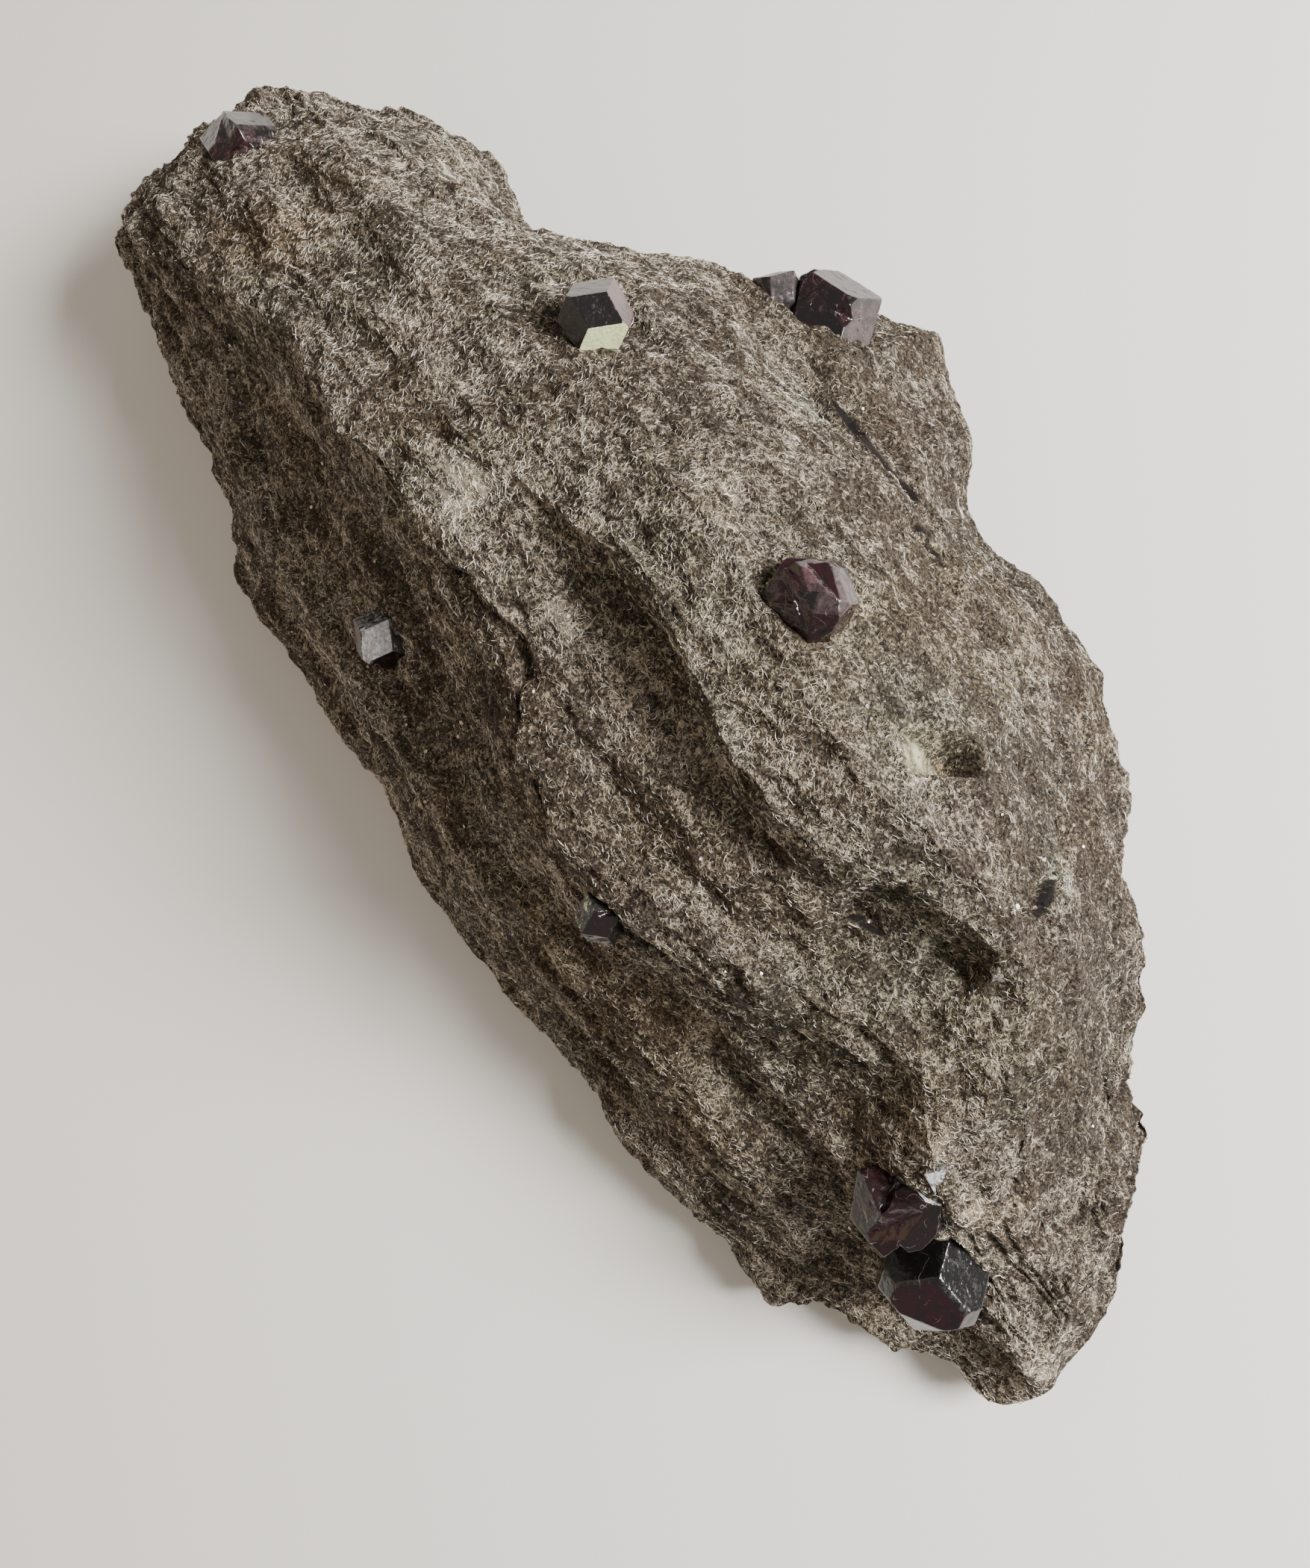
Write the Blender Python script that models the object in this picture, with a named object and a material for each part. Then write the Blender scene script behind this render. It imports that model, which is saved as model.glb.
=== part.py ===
"""Garnet crystals in a block of felted mica schist, lying on its flat underside.

The block is one closed skin.  It is lofted through named lines that run along the stone (edges,
ledges, shelf, terrace, crest and seam), and each crossways slice is a smooth curve through them.
Low lumps and ridges are added along the skin's own normals.  Every garnet is a closed crystal cut
by flat faces, and sits in a socket that is cut to its own shape, a little larger.

Metres, +Z up, +X along the block's long axis, origin under the middle of its box at the rest plane.
"""

import itertools
import math

import bmesh
import bpy
import numpy as np
from mathutils import Euler, Vector

MM = 0.001

# ---------------------------------------------------------------- driving dimensions (millimetres)

STONE_START_X = -77.2   # blunt upper end
STONE_END_X = 87.4      # narrow lower tip
REST_START_X = -62.0    # the flat underside runs from here ...
REST_END_X = 74.0       # ... to here; beyond it the underside lifts off the table
END_LIFT_START = 7.0    # how high the underside is at the blunt end
END_LIFT_TIP = 2.2      # and at the tip
FOOT_INSET = 3.2        # the foot stands this far in from the widest line,
FOOT_INSET_SHARE = 0.3  # or this share of the width where the stone is narrow
CREASE = 0.6            # 0 runs smoothly over the lines below, 1 breaks sharply at every one
SOCKET_GAP = 0.3        # clearance between a garnet and its socket

STATIONS = 80           # crossways slices along the block
UNDERSIDE_STEPS = 5     # steps across the flat underside

# Lines along the stone, as (x, y, z).  z is left out where a line lies on the rest plane.
LEFT_EDGE = [
    (-77.2, 10.0, 11.0), (-76.4, 3.4, 12.0), (-75.2, 0.3, 12.5), (-70.0, -1.0, 11.5), (-61.0, -4.3, 8.0),
    (-55.8, -7.1, 7.0), (-50.0, -7.3, 6.0), (-47.5, -8.7, 6.0), (-41.0, -8.6, 6.0), (-35.0, -12.9, 5.0),
    (-28.5, -13.7, 5.0), (-18.5, -13.9, 5.0), (-2.0, -15.4, 5.0), (8.0, -17.6, 5.0), (22.5, -17.4, 5.0),
    (33.0, -15.9, 5.0), (37.5, -14.6, 5.0), (42.5, -16.8, 5.0), (54.0, -14.7, 5.0), (59.0, -13.1, 5.0),
    (65.0, -13.1, 5.0), (69.5, -9.2, 5.0), (77.0, -5.8, 5.0), (81.0, -3.1, 5.0), (83.8, -2.8, 5.0),
    (86.6, -0.7, 5.0), (87.4, 1.2, 5.2),
]
FLANK_BELLY = [
    (-77.2, 10.5, 12.2), (-75.0, 1.6, 13.8), (-61.0, -2.1, 14.0), (-48.0, -3.2, 16.0), (-33.5, -4.5, 18.0),
    (-20.0, -5.9, 19.0), (-6.0, -7.2, 20.0), (5.0, -8.6, 19.0), (15.5, -9.7, 18.0), (26.0, -9.1, 17.0),
    (36.0, -8.1, 17.0), (46.0, -7.5, 16.0), (56.5, -6.5, 14.0), (65.5, -4.3, 11.0), (75.0, -2.0, 9.0),
    (82.2, -0.2, 7.0), (87.4, 1.9, 6.0),
]
SHELF_FOOT = [
    (-77.2, 11.0, 12.6), (-75.0, 3.0, 14.8), (-66.8, 2.0, 17.0), (-54.5, 2.6, 20.0), (-40.0, 4.9, 24.5),
    (-27.0, 5.6, 27.0), (-15.0, 5.4, 29.5), (-5.5, 5.0, 31.0), (4.5, 4.0, 31.5), (11.5, 0.8, 30.5),
    (20.0, -0.8, 29.0), (28.5, -0.4, 28.0), (37.0, 1.8, 27.0), (45.5, 4.6, 26.0), (53.0, 7.0, 24.6),
    (60.5, 3.6, 19.6), (69.0, 1.6, 14.4), (78.0, 1.8, 10.2), (87.4, 2.7, 6.6),
]
SHELF_LIP = [
    (-77.2, 11.5, 13.0), (-75.0, 4.0, 15.8), (-67.5, 3.4, 21.2), (-60.0, 4.6, 24.2), (-50.0, 7.2, 28.2),
    (-40.5, 10.4, 32.2), (-34.5, 11.8, 34.6), (-28.0, 10.3, 36.4), (-21.0, 9.9, 38.3), (-14.5, 10.2, 39.6),
    (-8.0, 9.8, 39.9), (-1.0, 9.8, 39.5), (5.0, 8.9, 38.6), (12.0, 4.8, 37.3), (18.0, 2.8, 36.2),
    (25.0, 2.3, 35.0), (34.0, 3.9, 34.0), (40.0, 6.5, 32.8), (45.5, 11.0, 32.5), (50.5, 11.6, 31.0),
    (54.5, 12.5, 30.0), (57.5, 10.4, 28.5), (62.0, 8.9, 26.0), (68.5, 7.6, 21.5), (77.5, 5.4, 15.0),
    (83.0, 4.0, 11.0), (87.4, 3.2, 7.0),
]
TERRACE = [
    (-77.2, 13.0, 13.2), (-75.0, 7.5, 16.4), (-67.5, 7.0, 22.0), (-50.0, 11.0, 29.0), (-34.0, 14.5, 35.0),
    (-20.0, 14.0, 39.0), (-8.0, 14.0, 41.0), (0.0, 14.0, 40.6), (10.0, 12.0, 39.0), (20.0, 9.8, 37.9),
    (30.0, 9.4, 36.6), (38.0, 11.4, 34.8), (45.0, 15.6, 33.4), (50.0, 17.4, 32.4), (56.0, 13.5, 30.8),
    (62.0, 10.0, 27.2), (70.0, 8.2, 21.3), (80.0, 5.4, 13.4), (87.4, 3.6, 7.2),
]
LEDGE_FOOT = [
    (-77.2, 15.0, 13.4), (-75.0, 11.5, 16.8), (-67.0, 11.0, 22.6), (-50.0, 15.0, 29.5), (-34.0, 17.4, 35.3),
    (-20.0, 17.2, 39.3), (-8.0, 17.6, 41.7), (0.0, 19.4, 42.2), (6.0, 20.4, 41.8), (10.0, 20.8, 41.3),
    (15.0, 20.5, 41.0), (20.0, 18.6, 40.7), (26.0, 17.0, 39.8), (34.0, 16.5, 38.6), (39.0, 18.3, 37.2),
    (42.5, 20.9, 36.0), (46.0, 21.9, 34.2), (50.5, 22.6, 32.6), (52.5, 21.2, 33.0), (58.0, 15.9, 30.2),
    (64.0, 12.0, 26.4), (72.0, 9.6, 20.2), (80.0, 6.8, 13.6), (87.4, 4.0, 7.2),
]
LEDGE_LIP = [
    (-77.2, 17.5, 13.4), (-75.0, 15.4, 16.9), (-66.0, 14.6, 23.4), (-50.0, 18.0, 29.8), (-34.0, 19.2, 35.5),
    (-20.0, 19.0, 39.4), (-8.0, 19.0, 42.1), (0.0, 20.2, 43.2), (6.0, 21.3, 44.2), (10.0, 21.8, 45.0),
    (15.0, 21.6, 45.3), (20.0, 20.0, 45.1), (26.0, 18.7, 44.2), (34.0, 18.7, 42.8), (39.0, 21.1, 41.6),
    (42.5, 23.6, 40.4), (46.0, 24.5, 38.8), (50.5, 25.4, 36.8), (52.5, 24.0, 34.0), (59.0, 18.3, 30.8),
    (65.0, 14.4, 26.2), (73.0, 11.4, 19.6), (80.0, 8.2, 13.6), (87.4, 4.4, 7.2),
]
CREST = [
    (-77.2, 20.0, 13.4), (-75.0, 19.6, 16.4), (-64.0, 19.8, 23.6), (-50.0, 25.0, 29.6), (-40.0, 26.8, 32.6),
    (-26.0, 28.0, 37.2), (-14.0, 28.0, 40.8), (0.0, 28.6, 43.8), (9.0, 29.0, 45.6), (19.0, 27.6, 46.0),
    (27.0, 26.2, 45.4), (34.0, 25.6, 44.2), (41.0, 27.2, 41.6), (49.0, 28.0, 37.6), (54.0, 25.6, 34.4),
    (60.0, 21.4, 30.0), (67.0, 17.2, 24.6), (75.0, 13.2, 17.6), (82.0, 8.8, 11.8), (87.4, 4.8, 6.8),
]
SHOULDER = [
    (-77.2, 21.5, 13.0), (-73.0, 24.0, 17.0), (-62.0, 26.0, 22.6), (-50.0, 31.6, 26.6), (-40.0, 32.4, 29.4),
    (-28.0, 34.4, 33.0), (-18.0, 37.0, 35.8), (-8.0, 38.2, 38.0), (0.0, 38.0, 39.8), (10.0, 38.2, 41.2),
    (20.0, 37.4, 40.6), (30.0, 36.2, 38.8), (40.0, 34.6, 36.0), (50.0, 32.8, 31.6), (58.0, 28.4, 27.2),
    (66.0, 22.4, 22.0), (74.0, 17.4, 16.8), (82.0, 11.0, 11.0), (87.4, 5.0, 6.2),
]
SEAM_LIP = [
    (-77.2, 22.0, 12.4), (-73.5, 25.5, 15.6), (-64.0, 30.2, 18.8), (-50.0, 36.0, 20.6), (-38.0, 36.1, 23.0),
    (-27.0, 39.8, 25.4), (-17.0, 45.5, 27.0), (-9.0, 47.5, 28.4), (-1.0, 45.5, 31.2), (4.5, 44.6, 32.8),
    (9.0, 45.2, 33.4), (15.0, 44.9, 32.6), (21.0, 44.1, 31.4), (32.0, 43.6, 28.4), (42.0, 40.6, 26.4),
    (52.0, 36.4, 23.4), (60.0, 31.2, 20.4), (68.0, 25.1, 17.0), (76.0, 19.3, 13.8), (82.5, 12.9, 9.6),
    (87.4, 5.3, 5.8),
]
SLAB_TOP = [
    (-77.2, 22.3, 11.6), (-73.5, 26.1, 14.2), (-65.0, 32.7, 15.6), (-50.0, 38.5, 16.4), (-40.0, 37.4, 17.6),
    (-30.0, 41.8, 18.6), (-20.0, 49.4, 19.4), (-9.0, 51.7, 23.0), (-1.0, 51.6, 26.0), (6.0, 50.4, 25.6),
    (12.0, 49.7, 25.4), (20.0, 48.1, 23.8), (30.0, 48.5, 21.6), (40.0, 46.6, 19.6), (50.0, 41.2, 18.0),
    (60.0, 34.9, 16.4), (68.0, 27.9, 14.4), (76.0, 22.3, 11.6), (82.5, 14.8, 8.6), (87.4, 5.5, 5.2),
]
RIGHT_EDGE = [
    (-77.2, 22.4, 10.6), (-75.6, 25.6, 12.0), (-73.0, 26.6, 12.5), (-70.0, 27.0, 13.0), (-64.7, 34.6, 12.5),
    (-58.6, 38.3, 12.0), (-54.8, 40.1, 11.5), (-48.8, 40.6, 11.5), (-40.0, 38.4, 12.0), (-34.0, 40.7, 12.0),
    (-27.5, 45.1, 12.0), (-20.0, 51.7, 12.5), (-13.0, 55.5, 13.0), (-7.0, 59.0, 13.0), (-1.0, 63.5, 12.5),
    (3.0, 61.4, 12.0), (9.8, 59.2, 12.0), (16.8, 53.0, 12.0), (20.5, 52.9, 12.0), (26.0, 54.3, 12.0),
    (35.5, 52.9, 12.0), (47.0, 46.8, 12.0), (53.0, 41.3, 12.0), (64.0, 35.4, 11.0), (69.0, 28.9, 10.0),
    (74.0, 27.4, 9.5), (79.0, 20.5, 9.0), (83.3, 16.2, 8.0), (86.2, 10.2, 6.0), (87.4, 5.7, 4.8),
]
LINES_ACROSS = [LEFT_EDGE, FLANK_BELLY, SHELF_FOOT, SHELF_LIP, TERRACE, LEDGE_FOOT, LEDGE_LIP, CREST,
                SHOULDER, SEAM_LIP, SLAB_TOP, RIGHT_EDGE]
# Mesh steps between one line and the next, the left foot first and the right foot last.
STEPS_ACROSS = [2, 4, 5, 5, 4, 3, 3, 4, 4, 4, 3, 4, 2]

# Low lumps of the felted skin, longer along the stone than across it.
LUMP_LENGTH = 12.0
LUMP_WIDTH = 6.5
LUMP_HEIGHT = 0.7
NUB_LENGTH = 5.0
NUB_WIDTH = 3.0
NUB_HEIGHT = 0.45

# Single swellings (positive height) and hollows (negative), as
# (x, y, z, half length, half width, degrees that the long way turns from +X, height).
SWELLS = [
    (-72.0, 25.5, 18.0, 5.0, 4.0, 60.0, 1.6),     # knob beside the end garnet
    (-56.0, -1.0, 16.0, 7.0, 5.0, -20.0, 1.2),    # buttress on the upper flank
    (-28.0, -9.0, 13.0, 9.0, 6.0, -10.0, 1.4),    # belly below the flank garnet
    (40.0, -6.0, 18.0, 14.0, 5.0, 6.0, 1.2),      # long belly on the lower flank
    (44.0, 9.5, 32.5, 6.0, 3.0, 25.0, 0.9),       # bench at the foot of the ledge
    (49.0, 22.4, 33.4, 3.2, 1.5, 28.0, -1.2),     # pocket where the ledge ends
    (41.0, 18.4, 35.8, 3.2, 0.9, 21.0, -0.8),     # short fold below the ledge
    (20.0, 16.2, 39.8, 14.0, 2.2, -3.0, -0.7),    # gutter along the foot of the ledge
    (14.0, 47.6, 31.0, 5.0, 1.6, -8.0, -1.9),     # gap under the seam's lip
    (2.0, 47.4, 31.5, 6.0, 1.8, -12.0, -1.0),     # its shallow upper run
    (48.0, -1.5, 24.0, 9.0, 2.5, 12.0, -1.2),     # groove below the shelf
    (68.0, 17.0, 22.0, 8.0, 3.5, -30.0, -1.1),    # dish beside the tip's ridge
    (66.0, 30.5, 13.0, 6.0, 2.5, -40.0, -1.3),    # notch in the lower right edge
    (-44.0, 34.5, 21.0, 5.0, 4.0, 10.0, -1.1),    # saddle above the upper right edge
]


# Crystals: the faces are named by their Miller indices, and stand this share of the crystal's half
# width from its centre unless the crystal gives its own share.
DODECAHEDRON = [(1, 1, 0), (1, -1, 0), (-1, 1, 0), (-1, -1, 0), (1, 0, 1), (1, 0, -1),
                (-1, 0, 1), (-1, 0, -1), (0, 1, 1), (0, 1, -1), (0, -1, 1), (0, -1, -1)]

# name: centre, half width between opposite faces, turn about X, Y, Z in degrees, own shares.
# A face that is not one of the twelve is a bevel or a break.
CRYSTALS = {
    "end_garnet": ((-64.8, 19.2, 21.2), 3.9, (-5, 12, 35), {(0, 1, 1): 0.9, (1, 1, 2): 1.05}),
    "green_faced_garnet": ((-12.7, 33.9, 40.1), 2.95, (94, -23, 25), {
        (1, 1, 0): 0.95, (1, 0, -1): 0.76, (0, 1, -1): 0.76, (0, 1, 1): 1.05}),
    "edge_garnet_small": ((-10.6, 50.5, 23.8), 2.2, (38, 10, 12), {(1, 1, 2): 1.06}),
    "edge_garnet_large": ((-6.4, 53.3, 21.8), 4.1, (52, -6, 69), {
        (0, 1, 1): 0.94, (1, 1, 1): 1.1, (1, 1, 0): 0.9}),
    "broken_garnet": ((20.3, 31.2, 44.6), 3.2, (45, 15, 103), {
        (0, 1, 1): 1.0, (1, 1, 2): 1.02, (-1, 1, 2): 1.0, (0, 0, 1): 1.18, (-4, 1, 1): 0.86,
        (2, 1, 1): 1.06, (1, 2, 1): 1.04, (-1, 2, 1): 1.05, (-1, -1, 1): 1.08}),
    "flank_garnet": ((-9.0, -0.6, 24.7), 2.6, (-30, 14, 20), {(2, 1, 1): 1.05}),
    "shelf_garnet": ((27.7, 0.9, 32.5), 1.9, (-52, 20, -15), {(1, 1, 2): 1.04}),
    "twin_garnet_upper": ((63.4, 5.2, 21.4), 3.9, (-40, 25, 10), {
        (1, 1, 1): 0.98, (2, -1, 1): 1.02, (-1, 1, 2): 0.96}),
    "twin_garnet_lower": ((70.8, 3.0, 15.9), 4.6, (54, -40, -123), {
        (2, 1, 1): 1.12, (1, 2, 1): 1.12, (1, 1, -1): 1.04, (1, 0, 0): 1.2, (0, 1, 0): 1.2}),
}
# Crystals that have grown into each other are one piece.
GROWN_TOGETHER = {
    "edge_garnets": ("edge_garnet_small", "edge_garnet_large"),
    "twin_garnets": ("twin_garnet_upper", "twin_garnet_lower"),
}
# A garnet has dropped out of the top here; only its mould is left.
LOST_CRYSTAL = ((35.5, 32.3, 39.5), 2.6, (-12, 37, 52), {
    (-3, 0, -5): 0.90, (2, 0, -1): 1.56, (0, 0, -1): 1.42, (0, 3, -1): 0.62, (0, -3, -1): 0.82,
    (-1, 1, 0): 1.7, (-1, -1, 0): 1.54, (1, -1, 0): 1.75, (1, 1, 0): 1.9, (-1, 0, -1): 1.4,
    (0, 1, -1): 1.5, (0, -1, -1): 1.5, (1, 0, -1): 2.2, (1, 0, 1): 1.9, (-1, 0, 1): 1.7, (0, 1, 1): 1.7,
    (0, -1, 1): 1.7})

# The middle of the block's box in the frame that the sizes above are measured in.
CENTRE_X = 5.1
CENTRE_Y = 22.73


# ---------------------------------------------------------------- the block's skin

def smooth_curve(knots, values, at):
    """Cubic through the knots that is level at each high or low one, so it never overshoots."""
    knots = np.asarray(knots, float)
    values = np.asarray(values, float)
    shape = (-1,) + (1,) * (values.ndim - 1)
    width = np.diff(knots).reshape(shape)
    slope = np.diff(values, axis=0) / width
    same_way = slope[:-1] * slope[1:] > 0
    blend = np.where(same_way, slope[:-1] + slope[1:], 1.0)
    inner = np.where(same_way, 2 * slope[:-1] * slope[1:] / blend, 0.0)
    tangent = np.concatenate([slope[:1], inner, slope[-1:]])
    span = np.clip(np.searchsorted(knots, at, side="right") - 1, 0, len(knots) - 2)
    step = (at - knots[span]) / np.diff(knots)[span]
    step = step.reshape(shape)
    width = width[span]
    rise = values[span + 1] - values[span]
    return (values[span] + rise * (3 * step ** 2 - 2 * step ** 3)
            + width * tangent[span] * (step ** 3 - 2 * step ** 2 + step)
            + width * tangent[span + 1] * (step ** 3 - step ** 2))


def ease(edge, inner, value):
    """0 at edge, 1 at inner, smooth between."""
    step = np.clip((value - edge) / (inner - edge), 0.0, 1.0)
    return step * step * (3 - 2 * step)


def lattice_noise(points, seed):
    """Random values from -1 to 1 on a unit lattice, eased between the eight nearest lattice points."""
    cell = np.floor(points).astype(np.int64)
    part = points - cell
    part = part ** 3 * (part * (part * 6 - 15) + 10)
    total = np.zeros(points.shape[:-1])
    for corner in range(8):
        side = np.array([corner & 1, corner >> 1 & 1, corner >> 2 & 1])
        key = (cell + side) @ np.array([374761393, 668265263, 1274126177]) + seed * 974634777
        key = key & 0xFFFFFFFF
        key = ((key ^ (key >> 13)) * 1103515245) & 0xFFFFFFFF
        key = ((key ^ (key >> 15)) * 668265263) & 0xFFFFFFFF
        value = (key ^ (key >> 16)) / 2147483648.0 - 1.0
        weight = np.prod(np.where(side, part, 1 - part), axis=-1)
        total += value * weight
    return total


def station_places():
    """x of each slice: even along the stone, closer together at its two ends."""
    even = np.linspace(0.0, 1.0, STATIONS)
    bunched = even - 0.11 * np.sin(2 * math.pi * even)
    return STONE_START_X + (STONE_END_X - STONE_START_X) * bunched


def rest_height(x):
    """Height of the underside: on the table in the middle, lifting towards both ends."""
    start = END_LIFT_START * ease(REST_START_X, STONE_START_X, x)
    tip = END_LIFT_TIP * ease(REST_END_X, STONE_END_X, x)
    return start + tip


def block_lines(x):
    """y and z of every line at every slice, the two feet included: arrays of line by slice."""
    along = [smooth_curve([p[0] for p in line], [p[1:] for p in line], x) for line in LINES_ACROSS]
    lines = np.stack(along)
    inset = np.minimum(FOOT_INSET, FOOT_INSET_SHARE * (lines[-1, :, 0] - lines[0, :, 0]))
    left_foot = np.stack([lines[0, :, 0] + inset, rest_height(x)], axis=-1)
    right_foot = np.stack([lines[-1, :, 0] - inset, rest_height(x)], axis=-1)
    return np.concatenate([left_foot[None], lines, right_foot[None]])


def outward_normals(grid):
    """Unit normals of a grid of slices by points around: across the slices, closed the other way."""
    along = np.gradient(grid, axis=0)
    around = np.roll(grid, -1, axis=1) - np.roll(grid, 1, axis=1)
    normal = np.cross(along, around)
    return normal / np.maximum(np.linalg.norm(normal, axis=-1, keepdims=True), 1e-9)


def relief(points):
    """Height of the lumps at each point: two sizes of eased lattice noise and the single swells."""
    stretch = np.array([LUMP_LENGTH, LUMP_WIDTH, LUMP_WIDTH])
    height = LUMP_HEIGHT * lattice_noise(points / stretch, 3)
    stretch = np.array([NUB_LENGTH, NUB_WIDTH, NUB_WIDTH])
    height += NUB_HEIGHT * lattice_noise(points / stretch, 8)
    for x, y, z, half_length, half_width, turn, swell in SWELLS:
        away = points - np.array([x, y, z])
        c, s = math.cos(math.radians(turn)), math.sin(math.radians(turn))
        lengthways = (away[..., 0] * c + away[..., 1] * s) / half_length
        crossways = (away[..., 1] * c - away[..., 0] * s) / half_width
        upright = away[..., 2] / (1.6 * half_width)
        height += swell * np.exp(-(lengthways ** 2 + crossways ** 2 + upright ** 2))
    return height


def block_grid():
    """Points of the skin in millimetres, slices by points around; the underside closes the loop."""
    x = station_places()
    lines = block_lines(x)
    reach = np.linalg.norm(np.diff(lines, axis=0), axis=-1).mean(axis=1)
    knots = np.concatenate([[0.0], np.cumsum(reach)])
    places = [np.linspace(knots[i], knots[i + 1], steps, endpoint=False)
              for i, steps in enumerate(STEPS_ACROSS)]
    places = np.concatenate(places + [knots[-1:]])
    straight = np.stack([np.interp(places, knots, line) for line in lines.reshape(len(knots), -1).T])
    straight = straight.T.reshape((len(places),) + lines.shape[1:])
    over = (1 - CREASE) * smooth_curve(knots, lines, places) + CREASE * straight
    share = np.linspace(0.0, 1.0, UNDERSIDE_STEPS + 1)[1:-1].reshape(-1, 1, 1)
    under = over[-1] + (over[0] - over[-1]) * share
    yz = np.concatenate([over, under]).transpose(1, 0, 2)
    grid = np.concatenate([np.broadcast_to(x[:, None, None], yz.shape[:2] + (1,)), yz], axis=-1)
    lifted = np.zeros(grid.shape[:2])
    lifted[:, :len(places)] = ease(0.0, knots[1], places) * ease(knots[-1], knots[-2], places)
    ends = ease(STONE_START_X, STONE_START_X + 3, x) * ease(STONE_END_X, STONE_END_X - 4, x)
    lifted *= ends[:, None]
    return grid + outward_normals(grid) * (relief(grid) * lifted)[..., None]


def grid_object(name, grid, material):
    """Closed mesh object of a grid whose rows are loops, with a flat face over each end."""
    slices, around = grid.shape[:2]
    index = np.arange(slices * around).reshape(slices, around)
    beside = np.roll(index, -1, axis=1)
    faces = np.stack([index[:-1], index[1:], beside[1:], beside[:-1]], axis=-1).reshape(-1, 4)
    mesh = bpy.data.meshes.new(name)
    caps = [index[0].tolist(), index[-1, ::-1].tolist()]
    points = (grid.reshape(-1, 3) - np.array([CENTRE_X, CENTRE_Y, 0.0])) * MM
    mesh.from_pydata(points.tolist(), [], faces.tolist() + caps)
    mesh.materials.append(material)
    item = bpy.data.objects.new(name, mesh)
    bpy.context.collection.objects.link(item)
    return item


# ---------------------------------------------------------------- the garnets

def crystal_object(name, crystal, material, clearance=0.0):
    """Closed convex crystal: every corner where three faces meet and no other face cuts it off."""
    centre, half_width, turn, own_shares = crystal
    faces = dict.fromkeys(DODECAHEDRON, 1.0)
    faces.update(own_shares)
    normals = np.array(list(faces), float)
    normals /= np.linalg.norm(normals, axis=1, keepdims=True)
    reach = np.array(list(faces.values())) * half_width + clearance
    corners = []
    for trio in itertools.combinations(range(len(reach)), 3):
        planes = normals[list(trio)]
        if abs(np.linalg.det(planes)) < 0.01:
            continue
        corner = np.linalg.solve(planes, reach[list(trio)])
        if np.all(normals @ corner < reach + 1e-6):
            corners.append(corner)
    turned = Euler([math.radians(angle) for angle in turn]).to_matrix()
    middle = Vector(centre) - Vector((CENTRE_X, CENTRE_Y, 0.0))
    shape = bmesh.new()
    for corner in corners:
        shape.verts.new((turned @ Vector(corner) + middle) * MM)
    bmesh.ops.remove_doubles(shape, verts=shape.verts, dist=0.00002)
    bmesh.ops.convex_hull(shape, input=shape.verts)
    bmesh.ops.dissolve_limit(shape, angle_limit=math.radians(1), verts=shape.verts, edges=shape.edges)
    mesh = bpy.data.meshes.new(name)
    shape.to_mesh(mesh)
    shape.free()
    if material:
        mesh.materials.append(material)
    item = bpy.data.objects.new(name, mesh)
    bpy.context.collection.objects.link(item)
    return item


def as_tool(item):
    """A shape that only cuts or adds to another one."""
    item.hide_render = True
    item.display_type = "WIRE"
    return item


def boolean(item, tool, operation):
    cut = item.modifiers.new(tool.name, "BOOLEAN")
    cut.operation = operation
    cut.solver = "EXACT"
    cut.object = as_tool(tool)


# ---------------------------------------------------------------- the specimen

def surface_material(name, colour, roughness):
    material = bpy.data.materials.new(name)
    material.use_nodes = True
    shader = material.node_tree.nodes["Principled BSDF"]
    shader.inputs["Base Color"].default_value = (*colour, 1.0)
    shader.inputs["Roughness"].default_value = roughness
    shader.inputs["Metallic"].default_value = 0.0
    material.diffuse_color = (*colour, 1.0)
    return material


def clear_scene():
    for item in list(bpy.data.objects):
        bpy.data.objects.remove(item, do_unlink=True)


def main():
    clear_scene()
    schist = surface_material("schist", (0.16, 0.14, 0.12), 0.75)
    almandine = surface_material("almandine", (0.09, 0.03, 0.035), 0.25)
    matrix = grid_object("matrix", block_grid(), schist)
    for name, crystal in CRYSTALS.items():
        boolean(matrix, crystal_object(name + "_socket", crystal, None, SOCKET_GAP), "DIFFERENCE")
    boolean(matrix, crystal_object("lost_garnet_mould", LOST_CRYSTAL, None), "DIFFERENCE")
    single = dict(CRYSTALS)
    for name, (first, second) in GROWN_TOGETHER.items():
        piece = crystal_object(name, single.pop(first), almandine)
        boolean(piece, crystal_object(second, single.pop(second), None), "UNION")
    for name, crystal in single.items():
        crystal_object(name, crystal, almandine)


main()
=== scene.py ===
"""Garnets in felted mica schist: the looks that go over the plain solids.

The stone is one closed skin worked out from the same named lines as its solid, with finer relief.
A felt of bent mineral needles and flakes of mica lie on it.  Each garnet is worked out from its
crystal faces, with its own colour and coating for every face.  Sizes are in millimetres until a
mesh is made.
"""

import itertools
import math

import bpy
import numpy as np
from mathutils import Euler, Matrix, Vector


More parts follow.
